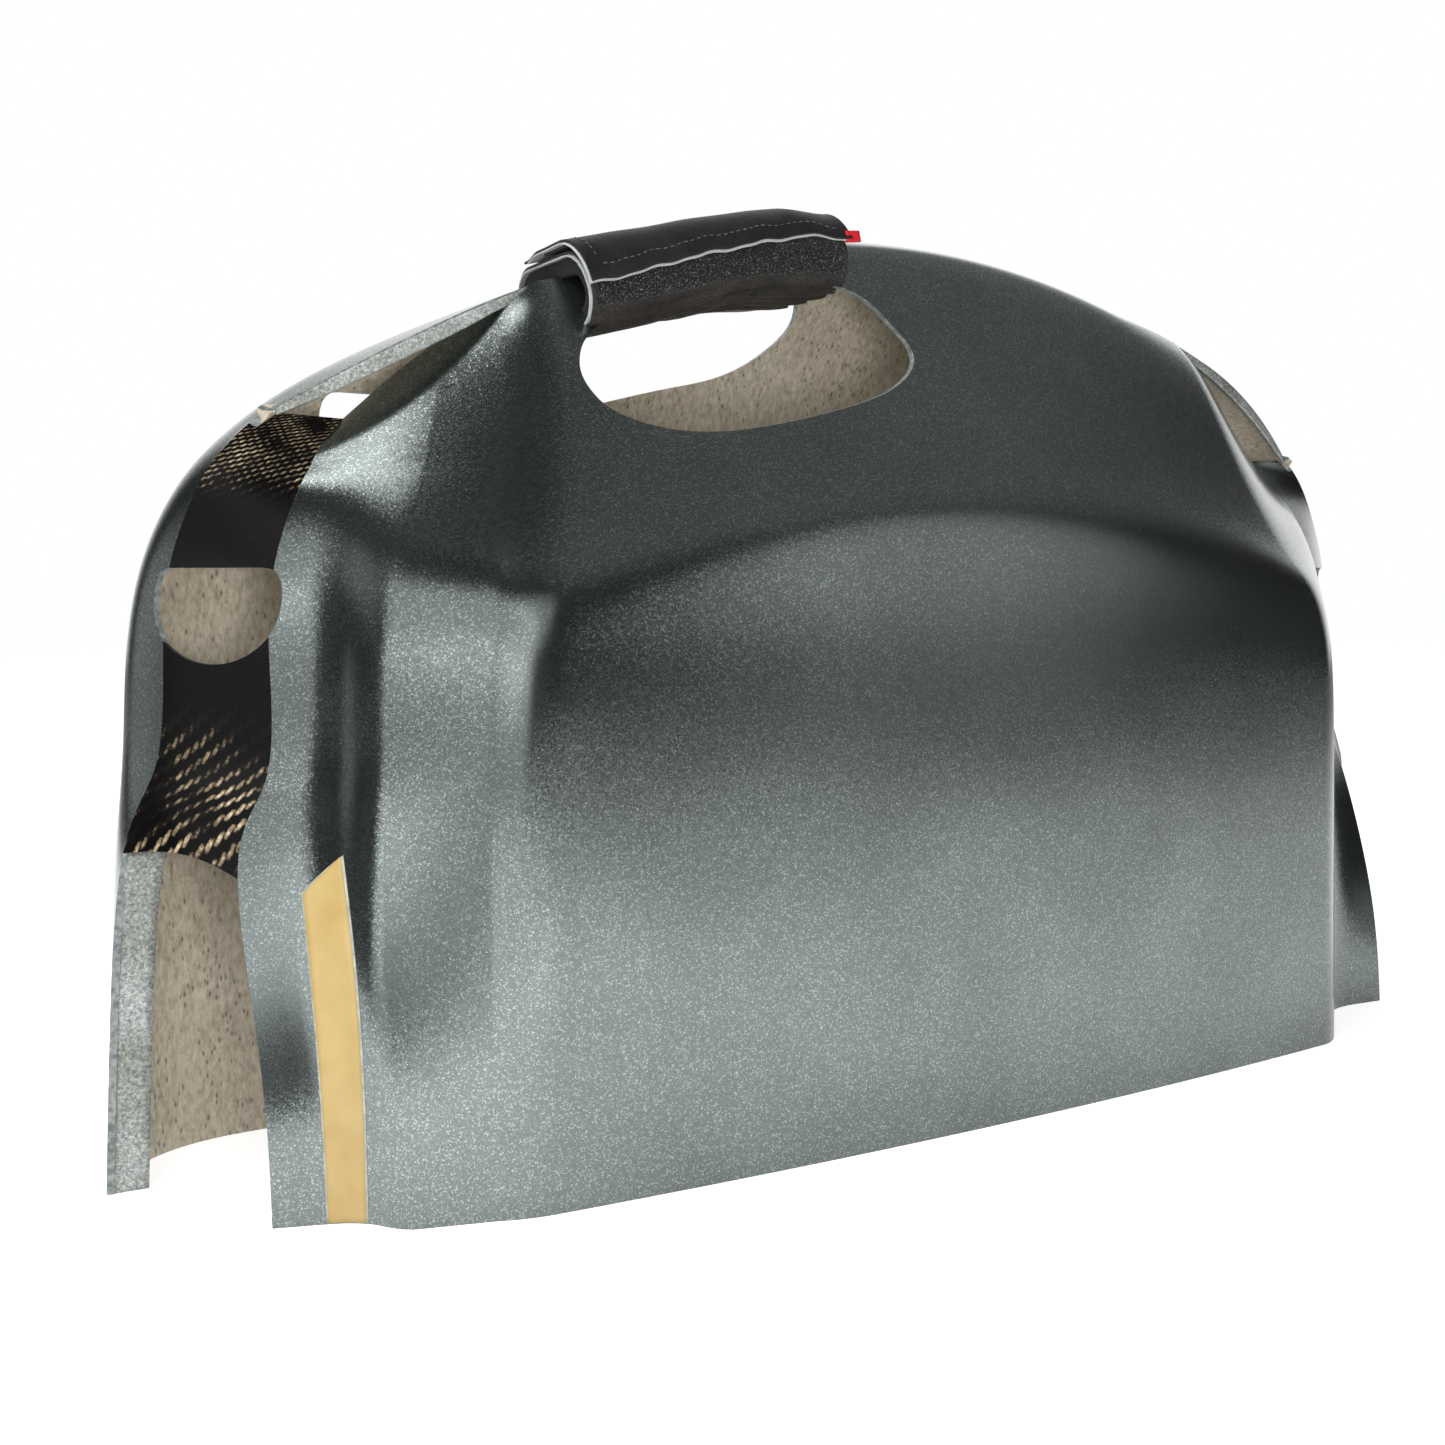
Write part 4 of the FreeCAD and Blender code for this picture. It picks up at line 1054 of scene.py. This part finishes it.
def grip_point(x, path, off):
    # x runs along the grip from its middle; the wrap droops at its right end and is thin below
    y, z = section(path, off)
    end = smoothstep(GRIP_LENGTH / 2 - 22 * MM, GRIP_LENGTH / 2 + 2 * MM, x)
    top = smoothstep(-4 * MM, 12 * MM, z)
    z -= end * RIGHT_END_DROOP * top
    z += MIDDLE_CROWN * top * math.cos(math.pi * x / GRIP_LENGTH)
    below = smoothstep(4 * MM, -12 * MM, z)
    uneven = 0.75 + 0.25 * math.cos(60 * x)
    z += below * UNDER_LIFT * (1 - smoothstep(20 * MM, 50 * MM, x)) * uneven
    return grip_frame @ Vector((x, y, z))


def ribbon(name, x_range, path_range, off, thickness, material, steps=(80, 40), body="shell",
           wave=None, slack=None):
    # a strip of sheet laid on the section; wave shifts its far edge, slack lifts it
    def place(column, row):
        u, v = column / steps[0], row / steps[1]
        x = x_range[0] + (x_range[1] - x_range[0]) * u
        start, end = path_range
        if wave:
            end += wave(x)
        path = start + (end - start) * v
        lift = slack(x, path) if slack else 0.0
        return grip_point(x, path, off + lift)

    sheet = grid_sheet(steps[0], steps[1], place)
    middle = grip_frame @ Vector((0, 0, 0))
    sheet.normal_update()
    outward = sum((one.calc_center_median() - middle).dot(one.normal) for one in sheet.faces)
    if outward < 0:
        bmesh.ops.reverse_faces(sheet, faces=sheet.faces)
    piece = make_piece(name, sheet, [material], body=body)
    thicken(piece, thickness)
    edge = piece.modifiers.new("soft_edge", "BEVEL")
    edge.width = thickness * 0.3
    edge.segments = 2
    edge.limit_method = "ANGLE"
    return piece


# %% [markdown]
# Layers of the grip, from the inside out: foam, felt lining, leather sleeve, hook tape on the
# sleeve, and on the flap loop tape, felt and leather. The sleeve's underside bunches in small folds,
# and the flap's free edge wanders, because leather stretches when it is pulled over by hand.

# %% Grip layers
X_HALF = GRIP_LENGTH / 2
FELT_T, LEATHER_T, TAPE_T = 0.8 * MM, 1.2 * MM, 1.0 * MM
SLEEVE_OFF = FELT_T + LEATHER_T
HOOK_OFF = SLEEVE_OFF + TAPE_T
LOOP_OFF = HOOK_OFF + 0.35 * MM + 0.75 * MM                # a gap and the loop tape's own thickness
FLAP_FELT_OFF = LOOP_OFF + 0.64 * MM
FLAP_OFF = FLAP_FELT_OFF + 1.08 * MM
FREE_EDGE = FLAT + HALF_HEIGHT * math.radians(76)
FLAP_INSET = 1.5 * MM
SEAM_BACK = -16.3 * MM     # the flap is sewn down behind its hinge line, on the flat top
SEAM_DROP = 1.9 * MM       # there it lies down on the sleeve
HOOK_FROM, HOOK_TO = (FLAT + HALF_HEIGHT * math.radians(angle) for angle in (20, 119))


def noise_wave(x, *waves):
    return sum(size * math.sin(x * rate + phase) for size, rate, phase in waves)


def free_edge_wave(x):
    # low at the left, a little high past the middle
    share = (x + X_HALF) / GRIP_LENGTH
    shape = 1.7 * math.cos(share * math.pi * 1.35) + 0.4 * math.cos(share * 9.0 + 0.6)
    return shape * MM + noise_wave(x, (0.25 * MM, 260, 0.4), (0.15 * MM, 520, 1.3))


def flap_slack(x, path):
    # soft unevenness of the leather, more towards the free edge
    loose = smoothstep(0.0, FREE_EDGE, path)
    seam = SEAM_DROP * smoothstep(-3 * MM, -14 * MM, path)
    uneven = noise_wave(x, (0.35 * MM, 95, 1.0), (0.22 * MM, 210, path * 160))
    return -seam + loose * uneven + 0.3 * MM * loose


def sleeve_slack(x, path):
    # folds of the sleeve along its underside
    low = smoothstep(FLAT + ARC * 0.62, FLAT + ARC * 0.95, path)
    low *= 1 - smoothstep(FLAT + ARC + 30 * MM, FLAT + ARC + 50 * MM, path)
    folds = (0.8 * MM * math.sin(path * 900 + 2.5 * math.sin(x * 55))
             + 0.5 * MM * math.sin(x * 150 + path * 420 + 1.5 * math.sin(x * 90)))
    return low * (folds - 0.3 * MM)


foam = ribbon("grip_foam", (-X_HALF + MM, X_HALF - MM), (0.0, GIRTH), -0.2 * MM, 6 * MM, FOAM)
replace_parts(foam, "grip_padding")
lining = ribbon("sleeve_felt_lining", (-X_HALF - 1.0 * MM, X_HALF), (0.0, GIRTH), FELT_T, FELT_T * 0.9,
                FELT, slack=sleeve_slack)
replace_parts(lining, "grip_felt")
sleeve = ribbon("grip_leather_sleeve", (-X_HALF, X_HALF), (0.0, GIRTH), SLEEVE_OFF, LEATHER_T * 0.95,
                UNDER_LEATHER, steps=(150, 130), slack=sleeve_slack)
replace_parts(sleeve, "grip_leather")
hook = ribbon("hook_tape", (-X_HALF + 2 * MM, X_HALF - 2 * MM), (HOOK_FROM, HOOK_TO),
              HOOK_OFF, TAPE_T * 0.95, HOOK,
              wave=lambda x: noise_wave(x, (0.5 * MM, 300, 0.0), (0.4 * MM, 640, 2.0)))
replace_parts(hook, "hook_tape")
loop = ribbon("loop_tape", (-X_HALF + 0.4 * MM, X_HALF - 4 * MM), (-2 * MM, FREE_EDGE - 3 * MM),
              LOOP_OFF, 0.7 * MM, LOOP, body="flap", wave=free_edge_wave,
              slack=flap_slack)
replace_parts(loop, "loop_tape")
flap_felt = ribbon("flap_felt_backing",
                   (-X_HALF - FLAP_INSET - 0.7 * MM, X_HALF + FLAP_INSET + 0.3 * MM),
                   (-12 * MM, FREE_EDGE + 0.5 * MM), FLAP_FELT_OFF, 0.6 * MM, FELT, body="flap",
                   wave=free_edge_wave, slack=flap_slack)
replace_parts(flap_felt, "flap_felt")
flap_leather = ribbon("flap_leather", (-X_HALF - FLAP_INSET, X_HALF + FLAP_INSET),
                      (SEAM_BACK, FREE_EDGE), FLAP_OFF, 1.0 * MM, LEATHER, steps=(120, 60), body=None,
                      wave=free_edge_wave, slack=flap_slack)
freeze(flap_leather)
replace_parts(flap_leather, "flap_leather")
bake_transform(flap_leather)

# %% [markdown]
# Stitches are short capsules of waxed thread, laid end to end with a small gap along the free edge
# and up the left end of the flap.

# %% Stitching
STITCH_SPACING, STITCH_LENGTH, THREAD_RADIUS = 2.8 * MM, 1.9 * MM, 0.22 * MM
STITCH_MARGIN, STITCH_END, END_RUN = 3.8 * MM, 3.5 * MM, 30 * MM     # from the edge, from the end


def stitches(name, points, body, node):
    threads = bmesh.new()
    for start, end in points:
        before = set(threads.verts)
        bmesh.ops.create_uvsphere(threads, u_segments=6, v_segments=5, radius=1.0)
        fresh = [v for v in threads.verts if v not in before]
        axis = end - start
        turn = Vector((0, 0, 1)).rotation_difference(axis.normalized()).to_matrix().to_4x4()
        size = Matrix.Diagonal((THREAD_RADIUS, THREAD_RADIUS, axis.length / 2, 1.0))
        place = Matrix.Translation((start + end) / 2) @ turn @ size
        bmesh.ops.transform(threads, matrix=place, verts=fresh)
    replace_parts(make_piece(name, threads, [THREAD], body=body), node)


def along_path(run):
    # the two ends of every stitch along a run of points
    pairs = []
    travelled = 0.0
    for one, other in zip(run, run[1:]):
        travelled += (other - one).length
        if travelled >= STITCH_SPACING:
            direction = (other - one).normalized()
            pairs.append((other - direction * STITCH_LENGTH, other))
            travelled = 0.0
    return pairs


def flap_top(x, path):
    return grip_point(x, path, FLAP_OFF + flap_slack(x, path) + 0.05 * MM)


edge_x = [-X_HALF + STITCH_END + (GRIP_LENGTH - 6 * MM) * i / 400 for i in range(401)]
edge_run = [flap_top(x, FREE_EDGE - STITCH_MARGIN + free_edge_wave(x)) for x in edge_x]
end_run = [flap_top(edge_x[0], FREE_EDGE - STITCH_MARGIN - END_RUN * i / 100) for i in range(101)]
stitches("flap_stitching", along_path(edge_run) + along_path(end_run), "flap",
         "flap_stitching")
sleeve_run = [grip_point(X_HALF - 2.2 * MM, FLAT + ARC * (0.62 + 0.3 * i / 60), SLEEVE_OFF + 0.1 * MM)
              for i in range(61)]
stitches("sleeve_end_stitching", along_path(sleeve_run), "shell", "grip_end_stitching")

# %% [markdown]
# The pull tab is a short piece of red ribbon, folded in half and sewn in at the right end of the
# flap's free edge.

# %% Pull tab
TAB_LENGTH, TAB_WIDTH, TAB_FOLD, RIBBON_T = 6.5 * MM, 4.2 * MM, 0.5 * MM, 0.4 * MM
TAB_STEPS, TAB_ROWS, TAB_SAG = 24, 6, 0.12                 # the sag is per length
TAB_PLACE = Vector((X_HALF - 1.0 * MM, 0.6 * MM, -1.2 * MM))


def tab_place(column, row):
    # up one side of the fold, round its end and back along the other
    angle = math.pi * column / TAB_STEPS
    out, side = TAB_LENGTH * math.sin(angle), TAB_FOLD * math.cos(angle)
    width = TAB_WIDTH * (row / TAB_ROWS - 0.5)
    y, z = section(FREE_EDGE - 0.5 * MM, FLAP_FELT_OFF)
    return grip_frame @ (TAB_PLACE + Vector((out, y + side, z + width - out * TAB_SAG)))


tab_sheet = grid_sheet(TAB_STEPS, TAB_ROWS, tab_place)
tab = make_piece("red_pull_tab", tab_sheet, [RIBBON], body="flap")
thicken(tab, RIBBON_T)
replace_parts(tab, "pull_tab")
